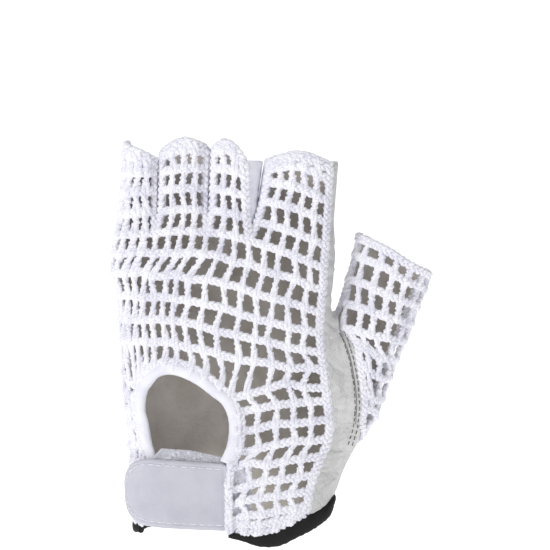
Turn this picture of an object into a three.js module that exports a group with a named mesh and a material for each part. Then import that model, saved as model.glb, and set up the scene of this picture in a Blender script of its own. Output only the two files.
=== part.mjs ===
import * as THREE from "three";

// A left-hand fingerless glove in the form it has when worn. Millimetres.
// x runs towards the thumb, y towards the palm, z from the wrist towards the fingers.

// Driving dimensions
const netWall = 2.4; // crochet of the back and thumb
const palmWall = 1.3; // palm leather, its outer face palmInset below the crochet's
const palmInset = 0.5;
const sideWall = 1.0; // leather between two fingers
const seamGap = 0.36; // between the edges of two neighbouring pieces
const edgeRoll = { width: 4.6, height: 3.6 }; // binding round the back opening
const cuffRoll = { width: 6.2, height: 3.8 }; // binding round the wrist
const strapWall = 1.9;
const backingWall = 1.5;

// Sections of the hand's body: z, centre x, half width, half depth towards the back, and towards the palm
const bodySections = [
  [-20, 1.0, 39.6, 19.5, 19.5],
  [0, 1.4, 39.8, 18.8, 19.0],
  [20, 0.9, 39.9, 17.6, 18.4],
  [48, -0.1, 42.1, 15.6, 17.0],
  [64, -0.8, 42.8, 14.6, 16.0],
  [88, -1.3, 43.5, 14.0, 14.6],
  [100, -1.4, 44.2, 13.4, 13.6],
  [122, -1.4, 43.6, 12.0, 12.4],
];
const bodyTop = 119;

// Finger stalls at two heights: z, centre x, half width, half depth
const fingerSections = {
  little: [[108, -37.3, 8.4, 9.2], [152, -35.1, 7.3, 8.4]],
  ring: [[108, -18.8, 10.6, 10.6], [152, -17.7, 10.4, 9.6]],
  middle: [[108, 0.2, 9.3, 11.0], [152, 3.9, 11.3, 10.2]],
  index: [[108, 25.2, 17.0, 11.6], [152, 30.6, 15.0, 10.6]],
};

// Axis of the thumb: x, y, z, radius
const thumbAxis = [
  [34.5, 6, 20, 10.6],
  [45.6, 8, 48, 16.3],
  [58, 10, 77, 15.2],
  [70, 12, 114, 17.6],
  [74, 12.6, 128, 18.4],
];
const thumbFlatness = 0.86; // depth over width

// The turn round the ulnar edge: z, centre x of the turn, its radius
const ulnarTurn = [
  [-8, -23.6, 15.0], [20, -24.0, 15.0], [48, -27.2, 15.0], [64, -29.0, 14.6],
  [88, -30.6, 14.2], [104, -33.1, 12.5], [112, -36.0, 9.2], [120, -36.6, 8.2], [152, -35.1, 7.3],
];
// The turn round the index side
const radialTurn = [
  [-8, 26.0, 15.0], [20, 26.4, 14.6], [48, 27.6, 14.4], [88, 29.4, 13.0], [112, 31.4, 11.0], [152, 35.4, 10.2],
];
const ulnarReach = 2.1; // radians round the ulnar edge to the seam with the palm

// Rows of the crochet from the wrist up. Row lines 0 to 19, columns 0 to 18.
const columnsOf = { little: [0, 6], ring: [6, 10], middle: [10, 13], index: [13, 18] };
const fingers = Object.keys(columnsOf);
const lineCount = 20;
const crotchLine = 14;
const openingLine = 8;
const openingColumns = [4, 13];

// Above the crotches, per finger: line, x left, x right, z left, z middle, z right
const fingerLines = {
  little: [
    [14, -45.2, -29.2, 113.6, 114.4, 115.2],
    [15, -45.2, -28.9, 122.4, 122.8, 123.6],
    [16, -45.2, -28.7, 130.8, 131.2, 132.0],
    [17, -45.2, -28.6, 139.2, 139.2, 139.6],
    [18, -45.2, -28.4, 148.0, 146.0, 141.6],
    [19, -45.2, -28.2, 152.2, 149.2, 144.8],
  ],
  ring: [
    [14, -29.2, -8.4, 115.2, 116.0, 115.6],
    [15, -28.0, -8.3, 123.6, 124.4, 124.0],
    [16, -27.8, -8.2, 132.0, 132.8, 132.8],
    [17, -27.8, -8.0, 139.6, 140.8, 140.8],
    [18, -27.7, -7.8, 145.6, 148.4, 147.2],
    [19, -27.6, -7.6, 148.0, 153.0, 149.6],
  ],
  middle: [
    [14, -8.4, 8.8, 115.6, 114.4, 112.0],
    [15, -7.3, 8.0, 124.0, 122.8, 121.2],
    [16, -7.1, 7.6, 132.8, 131.6, 129.6],
    [17, -6.9, 7.2, 140.8, 140.4, 138.0],
    [18, -6.8, 6.8, 146.8, 148.4, 141.6],
    [19, -6.6, 6.6, 149.6, 152.2, 144.0],
  ],
  index: [
    [14, 8.8, 38.8, 112.0, 106.8, 100.8],
    [15, 11.2, 39.6, 120.0, 115.6, 110.0],
    [16, 13.2, 40.2, 128.0, 124.8, 119.2],
    [17, 14.8, 40.8, 135.6, 133.2, 127.6],
    [18, 15.8, 41.2, 140.8, 141.6, 136.0],
    [19, 16.4, 41.6, 145.2, 147.6, 143.6],
  ],
};
// Across the knuckles: line, x at columns 6, 10, 13 and 18, z at columns 0, 6, 10, 13, 15.5 and 18
const knuckleLines = [
  [8, -35.0, -16.6, 2.6, 39.2, 62.8, 62.6, 60.8, 55.4, 53.6, 52.8],
  [9, -34.8, -16.4, 3.6, 38.6, 71.6, 71.6, 70.0, 64.4, 62.0, 59.6],
  [10, -35.2, -16.8, 3.6, 37.6, 80.4, 80.4, 79.2, 74.0, 70.4, 66.8],
  [11, -35.2, -16.4, 4.0, 37.2, 89.2, 89.6, 88.0, 82.8, 78.0, 74.4],
  [12, -34.0, -14.4, 6.0, 37.4, 98.0, 98.4, 97.2, 92.8, 88.0, 82.8],
  [13, -30.8, -10.4, 8.0, 38.4, 106.0, 107.2, 106.4, 102.8, 97.6, 92.0],
];
// Beside the opening on the thumb side: line, x at columns 13 and 18, z at columns 13, 15.5 and 18
const thumbSideLines = [
  [0, 0.4, 31.6, -4.0, -4.4, 2.4],
  [1, 0.4, 32.0, 0.8, 3.2, 6.0],
  [2, 0.4, 33.0, 7.2, 9.6, 11.6],
  [3, 0.4, 34.8, 13.6, 16.0, 18.0],
  [4, 1.6, 37.8, 22.0, 23.2, 25.2],
  [5, 4.4, 40.6, 28.4, 30.8, 32.4],
  [6, 5.6, 40.8, 36.0, 38.4, 40.0],
  [7, 4.8, 39.8, 43.2, 46.0, 47.6],
  [8, 1.6, 39.2, 49.6, 53.6, 52.8],
];
// Beside the opening on the ulnar side: line, x at column 4, z at columns 0 and 4
const ulnarSideLines = [
  [0, -35.2, 1.2, -1.2], [1, -35.0, 6.2, 7.0], [2, -34.8, 13.6, 15.0], [3, -35.0, 20.8, 23.2],
  [4, -36.0, 28.8, 29.8], [5, -37.6, 36.8, 38.0], [6, -38.8, 44.8, 43.0], [7, -39.0, 53.6, 48.6],
  [8, -38.2, 62.8, 53.6],
];
// Top of the back opening at columns 4 to 13: x, z
const openingTop = [
  [-38.2, 53.6], [-36.9, 56.6], [-34.2, 59.3], [-30.4, 61.8], [-25.6, 63.2],
  [-20.6, 63.0], [-15.0, 61.2], [-9.0, 58.0], [-3.2, 53.6], [1.6, 49.4],
];

// Straight-line reading of a table whose first column rises
function readTable(table, at) {
  let i = 1;
  while (i < table.length - 1 && table[i][0] < at) i++;
  const [low, high] = [table[i - 1], table[i]];
  const t = Math.min(1, Math.max(0, (at - low[0]) / (high[0] - low[0])));
  return low.slice(1).map((value, k) => value + (high[k + 1] - value) * t);
}

const mix = (a, b, t) => a + (b - a) * t;
const mixPoint = (p, q, t) => p.map((value, k) => mix(value, q[k], t));
const smoothStep = (t) => {
  const s = Math.min(1, Math.max(0, t));
  return s * s * (3 - 2 * s);
};

// Smooth union of two distances, k wide
function smoothUnion(a, b, k) {
  const h = Math.min(1, Math.max(0, 0.5 + (0.5 * (b - a)) / k));
  return mix(b, a, h) - k * h * (1 - h);
}

// Distance to a level superellipse: (|x/a|^n + |y/b|^n)^(1/n) less 1, over the length of its gradient
function sectionDistance(dx, dy, a, b, power) {
  const u = Math.abs(dx) / a;
  const v = Math.abs(dy) / b;
  const r = Math.max(1e-6, Math.pow(Math.pow(u, power) + Math.pow(v, power), 1 / power));
  const gx = Math.pow(u / r, power - 1) / a;
  const gy = Math.pow(v / r, power - 1) / b;
  return (r - 1) / Math.hypot(gx, gy);
}

function bodyDistance([x, y, z]) {
  const [cx, half, back, palm] = readTable(bodySections, z);
  const side = sectionDistance(x - cx, y, half, y < 0 ? back : palm, 2.5);
  return -smoothUnion(-side, bodyTop - z, 12);
}

function fingerDistance(name, [x, y, z]) {
  const [low, high] = fingerSections[name];
  const t = (Math.max(96, z) - low[0]) / (high[0] - low[0]);
  const [, cx, a, b] = low.map((value, k) => mix(value, high[k], t));
  return sectionDistance(x - cx, y - 0.5, a, b, 2.3) + 0.35 * Math.max(0, 100 - z); // it sinks into the body below
}

function thumbDistance([x, y, z]) {
  let nearest = Infinity;
  for (let i = 1; i < thumbAxis.length; i++) {
    const [a, b] = [thumbAxis[i - 1], thumbAxis[i]];
    const d = [0, 1, 2].map((k) => b[k] - a[k]);
    const along = (x - a[0]) * d[0] + (y - a[1]) * d[1] + (z - a[2]) * d[2];
    const t = Math.min(1, Math.max(0, along / (d[0] ** 2 + d[1] ** 2 + d[2] ** 2)));
    const [cx, cy, cz] = mixPoint(a, b, t);
    const away = Math.hypot(x - cx, (y - cy) / thumbFlatness, z - cz) - mix(a[3], b[3], t);
    nearest = i === 1 ? away : smoothUnion(nearest, away, 2);
  }
  return nearest;
}

const fingerBlend = 5;
const thumbBlend = 13;
const bodyAnd = (name) => (p) => smoothUnion(bodyDistance(p), fingerDistance(name, p), fingerBlend);
function handDistance(p) {
  let d = bodyDistance(p);
  for (const name of fingers) d = smoothUnion(d, fingerDistance(name, p), fingerBlend);
  return p[2] < 92 ? smoothUnion(d, thumbDistance(p), thumbBlend * smoothStep((92 - p[2]) / 14) + 0.01) : d;
}

function gradient(field, p) {
  const e = 0.04;
  const g = [0, 1, 2].map((k) => {
    const [a, b] = [[...p], [...p]];
    a[k] += e;
    b[k] -= e;
    return (field(a) - field(b)) / (2 * e);
  });
  const size = Math.hypot(...g);
  return { unit: g.map((value) => value / size), size };
}

// The point where a ray from inside the form leaves its surface at the given level
function castOut(field, from, direction, level = 0) {
  const at = (t) => from.map((value, k) => value + direction[k] * t);
  let far = 0.5;
  while (field(at(far)) < level && far < 70) far += 0.5;
  let near = far - 0.5;
  for (let i = 0; i < 26; i++) {
    const middle = (near + far) / 2;
    if (field(at(middle)) < level) near = middle;
    else far = middle;
  }
  return at(near);
}

// The nearest point of the surface at the given level, by steps along the gradient
function settle(field, p, level = 0) {
  let q = [...p];
  for (let i = 0; i < 10; i++) {
    const { unit, size } = gradient(field, q);
    const step = Math.max(-3, Math.min(3, (field(q) - level) / size));
    q = q.map((value, k) => value - unit[k] * step);
  }
  return q;
}

// A point of a wall: its outer and inner place, and the outward direction between them
function wallPoint(field, p, wall) {
  const { unit } = gradient(field, p);
  return { outer: p, inner: p.map((value, k) => value - unit[k] * wall), out: unit };
}

// A sheet of even thickness, made of four-sided and three-sided panels on two faces and closed round every free edge
class Sheet {
  constructor() {
    this.points = [];
    this.panels = [];
  }
  add(point) {
    this.points.push(point);
    return this.points.length - 1;
  }
  panel(...corners) {
    this.panels.push(corners);
  }
  // A four-sided panel cut through inside a margin, given as a share of its width and of its height
  pierced(corners, marginAcross, marginAlong) {
    const [a, b, c, d] = corners.map((i) => this.points[i]);
    const inside = (s, t) => {
      const face = (key) => mixPoint(mixPoint(a[key], b[key], s), mixPoint(d[key], c[key], s), t);
      return this.add({ outer: face("outer"), inner: face("inner") });
    };
    const [s, t] = [marginAcross, marginAlong];
    const hole = [inside(s, t), inside(1 - s, t), inside(1 - s, 1 - t), inside(s, 1 - t)];
    for (let i = 0; i < 4; i++) {
      const j = (i + 1) % 4;
      this.panel(corners[i], corners[j], hole[j], hole[i]);
    }
  }
  geometry() {
    const places = this.points.flatMap((p) => [p.outer, p.inner]).flat();
    const faces = [];
    const edges = new Set();
    for (const corners of this.panels) {
      for (let i = 2; i < corners.length; i++) {
        const [a, b, c] = [corners[0], corners[i - 1], corners[i]];
        faces.push(2 * a, 2 * b, 2 * c, 2 * a + 1, 2 * c + 1, 2 * b + 1);
      }
      corners.forEach((a, i) => edges.add(a + ":" + corners[(i + 1) % corners.length]));
    }
    for (const edge of edges) {
      const [a, b] = edge.split(":").map(Number);
      if (edges.has(b + ":" + a)) continue;
      faces.push(2 * b, 2 * a, 2 * a + 1, 2 * b, 2 * a + 1, 2 * b + 1);
    }
    return new THREE.BufferGeometry()
      .setAttribute("position", new THREE.Float32BufferAttribute(places, 3))
      .setIndex(faces);
  }
}

// A place on the back of the hand. Left of the ulnar turn's centre, s is length along the turn, measured
// from the centre; everywhere else s is x.
function backPlace(s, z, field, level = 0) {
  const [centre, radius] = readTable(ulnarTurn, z);
  const angle = Math.max(0, (centre - s) / radius);
  return castOut(field, [Math.max(s, centre), 0, z], [-Math.sin(angle), -Math.cos(angle), 0], level);
}

// s for a place whose x is known
function alongFromX(x, z) {
  const [centre, radius] = readTable(ulnarTurn, z);
  return x >= centre ? x : centre - radius * Math.asin(Math.min(1, (centre - x) / radius));
}
const ulnarStart = (z) => {
  const [centre, radius] = readTable(ulnarTurn, z);
  return centre - radius * ulnarReach;
};

// Value at t of a smooth curve through points [t, value]
function curveThrough(knots, t) {
  let i = 1;
  while (i < knots.length - 1 && knots[i][0] < t) i++;
  const [p1, p2] = [knots[i - 1], knots[i]];
  const p0 = knots[i - 2] ?? p1;
  const p3 = knots[i + 1] ?? p2;
  const h = p2[0] - p1[0];
  const u = (t - p1[0]) / h;
  const slope = (a, b) => (b[0] === a[0] ? 0 : (b[1] - a[1]) / (b[0] - a[0]));
  const m1 = slope(p0, p2) * h;
  const m2 = slope(p1, p3) * h;
  return p1[1] * (1 + 2 * u) * (1 - u) ** 2 + m1 * u * (1 - u) ** 2
    + p2[1] * u * u * (3 - 2 * u) + m2 * u * u * (u - 1);
}

const rowOf = (table, line) => table.find((row) => row[0] === line).slice(1);

// Where row line and column meet, as s and z. Above the crotches each finger has its own columns.
function crossing(line, column, finger) {
  const weave = line % 2 ? 0.09 : -0.09; // neighbouring rows lie a little to either side
  if (line >= crotchLine) {
    const [first, last] = columnsOf[finger];
    const [xLeft, xRight, zLeft, zMiddle, zRight] = rowOf(fingerLines[finger], line);
    const ends = column === first || column === last || line === crotchLine ? 0 : weave;
    const t = (column + ends - first) / (last - first);
    const z = curveThrough([[0, zLeft], [0.5, zMiddle], [1, zRight]], t);
    const left = finger === "little" ? ulnarStart(zLeft) : xLeft;
    return [mix(left, xRight, t), z];
  }
  const [xa, xb, xc, xd, z0, z6, z10, z13, zm, z18] =
    line >= openingLine ? rowOf(knuckleLines, line) : new Array(10).fill(0);
  if (line > openingLine) {
    const c = column + (column === 0 || column === 18 ? 0 : weave);
    const s = curveThrough([[0, ulnarStart(z0)], [6, xa], [10, xb], [13, xc], [18, xd]], c);
    return [s, curveThrough([[0, z0], [6, z6], [10, z10], [13, z13], [15.5, zm], [18, z18]], c)];
  }
  const [first, last] = openingColumns;
  if (column <= first) {
    const [x, zUlnar, zEdge] = rowOf(ulnarSideLines, line);
    const t = column / first;
    return [mix(ulnarStart(zUlnar), alongFromX(x, zEdge), t), mix(zUlnar, zEdge, t)];
  }
  if (column >= last) {
    const [x, xEnd, zEdge, zMiddle, zEnd] = rowOf(thumbSideLines, line);
    const t = (column + (column === last || column === 18 ? 0 : weave) - last) / (18 - last);
    return [mix(x, xEnd, t), curveThrough([[0, zEdge], [0.5, zMiddle], [1, zEnd]], t)];
  }
  return openingTop[column - first];
}

// The form that a row lies on: the whole hand below the crotches, one finger above them
function formAt(line, finger) {
  if (line <= crotchLine) return handDistance;
  const own = bodyAnd(finger);
  if (line > crotchLine + 1) return own;
  return (p) => mix(handDistance(p), own(p), 0.6);
}

const group = new THREE.Group();
const finishes = {
  crochet: new THREE.MeshStandardMaterial({ color: 0xedecf2, roughness: 0.95, metalness: 0 }),
  leather: new THREE.MeshStandardMaterial({ color: 0xdedddb, roughness: 0.6, metalness: 0 }),
  sideLeather: new THREE.MeshStandardMaterial({ color: 0xdddee6, roughness: 0.6, metalness: 0 }),
  binding: new THREE.MeshStandardMaterial({ color: 0xecebf5, roughness: 0.7, metalness: 0 }),
  strap: new THREE.MeshStandardMaterial({ color: 0xd3d3da, roughness: 0.55, metalness: 0 }),
  fleece: new THREE.MeshStandardMaterial({ color: 0xd8d8df, roughness: 1, metalness: 0 }),
  cuff: new THREE.MeshStandardMaterial({ color: 0x2b2b29, roughness: 0.85, metalness: 0 }),
};
function addPiece(name, geometry, finish) {
  const mesh = new THREE.Mesh(geometry, finishes[finish]);
  mesh.name = name;
  group.add(mesh);
}

// The crochet back
const fingerOfColumn = (column) => fingers.find((name) => column < columnsOf[name][1]) ?? "index";
const netPoints = new Map();
function netPoint(line, column, finger) {
  const key = [line, column, line > crotchLine ? finger : ""].join();
  if (!netPoints.has(key)) {
    const [s, z] = crossing(line, column, finger);
    const form = formAt(line, finger);
    netPoints.set(key, wallPoint(form, backPlace(s, z, form), netWall));
  }
  return netPoints.get(key);
}
const hasCell = (line, column) =>
  line >= openingLine || column < openingColumns[0] || column >= openingColumns[1];
// Cells of the net that stand open: those of the ulnar edge and of the little finger are drawn shut
const firstOpenColumn = [99, 14, 14, 14, 13, 13, 13, 13, 9, 8, 8, 8, 9, 9, 10, 10, 10, 14, 99];
const isOpen = (line, column) => column >= firstOpenColumn[line] && column < 17 && !(line > 13 && (column === 12 || column === 9));
const back = new Sheet();
const backNodes = new Map();
function backNode(line, column, finger) {
  const key = [line, column, line > crotchLine ? finger : ""].join();
  if (!backNodes.has(key)) backNodes.set(key, back.add(netPoint(line, column, finger)));
  return backNodes.get(key);
}
for (let line = 0; line < lineCount - 1; line++) {
  for (let column = 0; column < 18; column++) {
    if (!hasCell(line, column)) continue;
    const finger = fingerOfColumn(column);
    const corners = [
      backNode(line, column, finger), backNode(line, column + 1, finger),
      backNode(line + 1, column + 1, finger), backNode(line + 1, column, finger),
    ];
    if (isOpen(line, column)) back.pierced(corners, 0.24, 0.17);
    else back.panel(...corners);
  }
}
addPiece("crochet_back", back.geometry(), "crochet");

// Thumb coordinates: an angle about the thumb's axis (0 away from the hand, -90 towards the back) and z
const degrees = Math.PI / 180;
const thumbCentre = (z) => {
  const rows = thumbAxis.map(([x, y, height]) => [height, x, y]);
  return readTable(rows, z);
};
function thumbPlace(angle, z, form, level) {
  const [x, y] = thumbCentre(z);
  const direction = [Math.cos(angle * degrees), Math.sin(angle * degrees), 0];
  return settle(form, castOut(thumbDistance, [x, y, z], direction, level), level);
}
function thumbAngle([x, y, z], near) {
  const [cx, cy] = thumbCentre(z);
  const angle = Math.atan2(y - cy, x - cx) / degrees;
  return angle + 360 * Math.round((near - angle) / 360);
}

// The seam round the root of the thumb. On the back from the web down: x, z; and from its foot up the palm
// side: x, y, z
const webPoint = [45.2, 7, 76.5];
const rootSeamBack = [[47.4, 71.5], [49.8, 63.5], [51.6, 54], [52.2, 44], [51.4, 35.5]];
const rootSeamPalm = [[46.8, 20, 32.5], [43.5, 23, 40], [41.2, 24, 49], [40.6, 23, 58], [41.8, 19, 67.5]];
const thumbRows = 9; // row 0 at the root, row 5 at the web, row 9 at the rim
const netColumnsOfThumb = 9;
const leatherColumnsOfThumb = 6;
const stripAngle = 10; // the strip of leather beside the seam on the back
const outerSeam = Array.from({ length: 10 }, (_, j) => [34 - 1.2 * Math.abs(j - 5), 27 + 8 * j]); // angle, z
outerSeam[0] = [14, 26.8];
const innerSeam = [[-169, 77.5], [-184, 87], [-193, 97], [-198, 106.5], [-200, 115.5]]; // angle, z, rows 5 to 9

const onHand = (p) => settle(handDistance, p);
const backSeamPoints = rootSeamBack.map(([x, z]) => castOut(handDistance, [x, thumbCentre(z)[1], z], [0, -1, 0]));
const palmSeamPoints = rootSeamPalm.map(onHand);
const web = onHand(webPoint);
// Left ends of the rows on the back, as angle and z, rows 0 to 5
const backSeamEnds = [...backSeamPoints].reverse().map((p) => [thumbAngle(p, -90), p[2]]);
backSeamEnds.push([thumbAngle(web, -180), web[2]]);
const palmSeamEnds = palmSeamPoints.map((p) => [thumbAngle(p, 110), p[2]]);
palmSeamEnds.push([thumbAngle(web, 180), web[2]]);

const thumbForm = (row) => {
  const own = smoothStep((row - 1) / 5);
  return (p) => mix(handDistance(p), thumbDistance(p), own);
};
// z follows the cosine of the angle between the ends of a row, so that rows lie level on a tilted section
function thumbRowPlace([angleA, zA], [angleB, zB], t) {
  const angle = mix(angleA, angleB, t);
  const [ca, cb, c] = [angleA, angleB, angle].map((a) => Math.cos(a * degrees));
  const share = Math.abs(ca - cb) < 0.25 ? t : mix(t, (c - ca) / (cb - ca), 0.7);
  return [angle, mix(zA, zB, share)];
}
const gapAngle = (seamGap / 2 / 15) / degrees;

function thumbNetPoint(row, column) {
  const strip = row < 5 ? stripAngle : 0;
  const left = row < 5 ? backSeamEnds[row] : innerSeam[row - 5];
  const start = [left[0] + strip + gapAngle * (row < 7 ? 4 : 1.5), left[1]];
  const end = [outerSeam[row][0] - gapAngle, outerSeam[row][1]];
  const [angle, z] = thumbRowPlace(start, end, column / netColumnsOfThumb);
  const form = thumbForm(row);
  const lift = row === 0 ? seamGap / 2 : 0;
  return wallPoint(form, thumbPlace(angle, z + lift, form, 0), netWall);
}
const thumbNet = new Sheet();
const thumbNetNodes = Array.from({ length: thumbRows + 1 }, (_, row) =>
  Array.from({ length: netColumnsOfThumb + 1 }, (_, column) => thumbNet.add(thumbNetPoint(row, column))));
for (let row = 0; row < thumbRows; row++) {
  for (let column = 0; column < netColumnsOfThumb; column++) {
    const corners = [
      thumbNetNodes[row][column], thumbNetNodes[row][column + 1],
      thumbNetNodes[row + 1][column + 1], thumbNetNodes[row + 1][column],
    ];
    const open = row > 0 && row < 8 && column > (row < 3 ? 1 : 2) && column < (row < 3 ? 5 : 7);
    if (open) thumbNet.pierced(corners, 0.26, 0.16);
    else thumbNet.panel(...corners);
  }
}
addPiece("thumb_crochet", thumbNet.geometry(), "crochet");

function thumbLeatherPoint(row, column) {
  const form = row <= 5 && column === leatherColumnsOfThumb ? handDistance : thumbForm(row);
  const lift = row === 0 ? seamGap / 2 : 0;
  const start = [outerSeam[row][0] + gapAngle, outerSeam[row][1]];
  if (column === leatherColumnsOfThumb && row <= 5) {
    const seam = row === 5 ? webPoint : rootSeamPalm[row];
    return wallPoint(form, settle(form, seam, -palmInset), palmWall);
  }
  let place;
  if (row < 5) {
    const end = [palmSeamEnds[row][0] - gapAngle, palmSeamEnds[row][1]];
    place = thumbRowPlace(start, end, column / leatherColumnsOfThumb);
  } else {
    const [angle, z] = innerSeam[row - 5];
    const end = [angle + 360 - gapAngle, z];
    const last = row === 5 ? 1 - 11 / (end[0] - start[0]) : leatherColumnsOfThumb / (leatherColumnsOfThumb + 1);
    const t = column > leatherColumnsOfThumb ? 1 : (column / leatherColumnsOfThumb) * last;
    place = thumbRowPlace(start, end, t);
  }
  return wallPoint(form, thumbPlace(place[0], place[1] + lift, form, -palmInset), palmWall);
}
const thumbLeather = new Sheet();
const thumbLeatherNodes = Array.from({ length: thumbRows + 1 }, (_, row) =>
  Array.from({ length: leatherColumnsOfThumb + (row < 5 ? 1 : 2) }, (_, column) =>
    thumbLeather.add(thumbLeatherPoint(row, column))));
for (let row = 0; row < thumbRows; row++) {
  for (let column = 0; column < leatherColumnsOfThumb + (row < 5 ? 0 : 1); column++) {
    const [low, high] = [thumbLeatherNodes[row], thumbLeatherNodes[row + 1]];
    thumbLeather.panel(low[column], low[column + 1], high[column + 1], high[column]);
  }
}
// The narrow strip beside the seam, from the web down the back: seam side and net side at each row
const stripNodes = [0, 1, 2, 3, 4].map((row) => [gapAngle, stripAngle - gapAngle].map((turn) => {
  const [angle, z] = backSeamEnds[row];
  if (turn === gapAngle) {
    const seam = settle(handDistance, backSeamPoints[4 - row], -palmInset);
    return thumbLeather.add(wallPoint(handDistance, seam, palmWall));
  }
  const form = thumbForm(row);
  return thumbLeather.add(wallPoint(form, thumbPlace(angle + turn, z, form, -palmInset), palmWall));
}));
stripNodes.push([thumbLeatherNodes[5][leatherColumnsOfThumb], thumbLeatherNodes[5][leatherColumnsOfThumb + 1]]);
for (let row = 0; row < 5; row++) {
  thumbLeather.panel(stripNodes[row][0], stripNodes[row][1], stripNodes[row + 1][1], stripNodes[row + 1][0]);
}
addPiece("thumb_leather", thumbLeather.geometry(), "leather");

// The palm leather. Its columns run from the crochet's edge beside the thumb, round the index side, over the
// palm to the seam at the ulnar edge.
const palmColumns = { turn: 4, index: 7, middle: 10, ring: 13, little: 18 };
const tabTuck = 1.9; // how far the finger palms stop short of the crochet's edges
const palmStarts = { index: 0, middle: 7, ring: 10, little: 13 };
const noThumb = (p) => {
  let d = bodyDistance(p);
  for (const name of fingers) d = smoothUnion(d, fingerDistance(name, p), fingerBlend);
  return d;
};

// z of a row line at the boundaries between the fingers, on the palm side
function palmHeights(line) {
  const left = (name) => rowOf(fingerLines[name], line)[2];
  const right = (name) => rowOf(fingerLines[name], line)[4];
  if (line >= crotchLine) return { index: [right("index"), left("index")], little: [right("little"), left("little")],
    middle: [right("middle"), left("middle")], ring: [right("ring"), left("ring")] };
  const zThumb = line >= openingLine ? rowOf(knuckleLines, line)[9] : rowOf(thumbSideLines, line)[4];
  const zUlnar = line >= openingLine ? rowOf(knuckleLines, line)[4] : rowOf(ulnarSideLines, line)[1];
  const share = { index: [0, 0.45], middle: [0.45, 0.65], ring: [0.65, 0.82], little: [0.82, 1] };
  return Object.fromEntries(fingers.map((name) => [name, share[name].map((t) => mix(zThumb, zUlnar, t))]));
}
function palmBoundaries(line) {
  if (line >= crotchLine) return null;
  const t = smoothStep(line / crotchLine);
  return { 7: mix(4, 8.8, t), 10: mix(-12, -8.4, t), 13: mix(-25, -29.2, t) };
}

// The wrist edge climbs at the thumb side, dips beside it on the palm and is higher again under the strap.
// The two rows over it follow.
const wristRiseShares = [[0, 0], [1, 0.5], [2, 0.93], [3, 0.25], [4, -0.5], [5, -0.8], [6, -0.7], [7, -0.25], [8, 0.15],
  [10, 0.36], [13, 0.3], [16, 0.12], [18, 0]]; // column, share
const wristRise = (line, column) => ([8.0, 6.0, 3.2][line] ?? 0) * readTable(wristRiseShares, column)[0];

function palmPlace(line, column, finger) {
  const heights = palmHeights(line)[finger];
  const [first, last] = [palmStarts[finger], palmColumns[finger]];
  const t = (column - first) / (last - first);
  const z = mix(heights[0], heights[1], t) + wristRise(line, column);
  const bounds = palmBoundaries(line);
  let form = formAt(line, finger);
  if (line === 12 && column > 0 && column <= palmColumns.turn) form = noThumb;
  const level = -palmInset;
  if (finger === "index" && column <= palmColumns.turn) {
    const [centre, radius] = readTable(radialTurn, z);
    const edge = netPoint(line, 18, "index").outer;
    const start = Math.asin(Math.min(0.98, (edge[0] - centre) / radius)) + (seamGap + 0.1) / radius;
    const angle = mix(start, Math.PI, column / palmColumns.turn);
    const from = [centre, 0, z];
    if (column === 0) {
      const side = castOut(form, [edge[0] + seamGap, 0, edge[2]], [0, -1, 0], level);
      if (line <= crotchLine || edge[0] < centre + radius * 0.9) return { place: side, form };
    }
    return { place: castOut(form, from, [Math.sin(angle), -Math.cos(angle), 0], level), form };
  }
  if (finger === "little") {
    const [centre, radius] = readTable(ulnarTurn, z);
    const tuck = line > crotchLine ? tabTuck : 0;
    const startX = bounds ? bounds[13] : rowOf(fingerLines.little, line)[1] - tuck;
    const arc = Math.PI - ulnarReach - (seamGap + 0.1) / radius;
    const straight = Math.max(0, startX - centre);
    const along = t * (straight + arc * radius);
    const past = Math.max(0, along - straight) / radius;
    const x = Math.max(centre, startX - along);
    return { place: castOut(form, [x, 0, z], [-Math.sin(past), Math.cos(past), 0], level), form };
  }
  const turnCentre = readTable(radialTurn, z)[0];
  const line2 = line >= crotchLine ? rowOf(fingerLines[finger], line) : null;
  const tuck = line > crotchLine ? tabTuck : 0;
  const startX = finger === "index" ? turnCentre : (line2 ? line2[1] - tuck : bounds[first]);
  const endX = line2 ? line2[0] + tuck : bounds[last];
  const u = finger === "index" ? (column - palmColumns.turn) / (last - palmColumns.turn) : t;
  return { place: castOut(form, [mix(startX, endX, u), 0, z], [0, 1, 0], level), form };
}

const palm = new Sheet();
const palmNodes = new Map();
const palmPoints = new Map();
const palmKey = (line, column, finger) => [line, column, line > crotchLine ? finger : ""].join();
function palmNode(line, column, finger) {
  const key = palmKey(line, column, finger);
  if (!palmNodes.has(key)) {
    const { place, form } = palmPlace(line, column, finger);
    const point = wallPoint(form, place, palmWall);
    palmPoints.set(key, point);
    palmNodes.set(key, palm.add(point));
  }
  return palmNodes.get(key);
}
const fingerOfPalmColumn = (column) => ["index", "middle", "ring"].find((f) => column < palmColumns[f]) ?? "little";
const thumbWindow = { low: 3, high: 12, columns: palmColumns.turn };
for (let line = 0; line < lineCount - 1; line++) {
  for (let column = 0; column < palmColumns.little; column++) {
    if (line >= thumbWindow.low && line < thumbWindow.high && column < thumbWindow.columns) continue;
    const finger = fingerOfPalmColumn(column);
    palm.panel(palmNode(line, column, finger), palmNode(line, column + 1, finger),
      palmNode(line + 1, column + 1, finger), palmNode(line + 1, column, finger));
  }
}
// The window's rim, from the middle of its top side down the back, round and up the palm side
const windowRim = [];
for (let c = 2; c >= 0; c--) windowRim.push([thumbWindow.high, c]);
for (let l = thumbWindow.high - 1; l >= thumbWindow.low; l--) windowRim.push([l, 0]);
for (let c = 1; c <= 4; c++) windowRim.push([thumbWindow.low, c]);
for (let l = thumbWindow.low + 1; l <= thumbWindow.high; l++) windowRim.push([l, 4]);
windowRim.push([thumbWindow.high, 3]);
const rimNodes = windowRim.map(([line, column]) => palmNode(line, column, "index"));
const rimPoints = windowRim.map(([line, column]) => palmPoints.get(palmKey(line, column, "index")));
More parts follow.
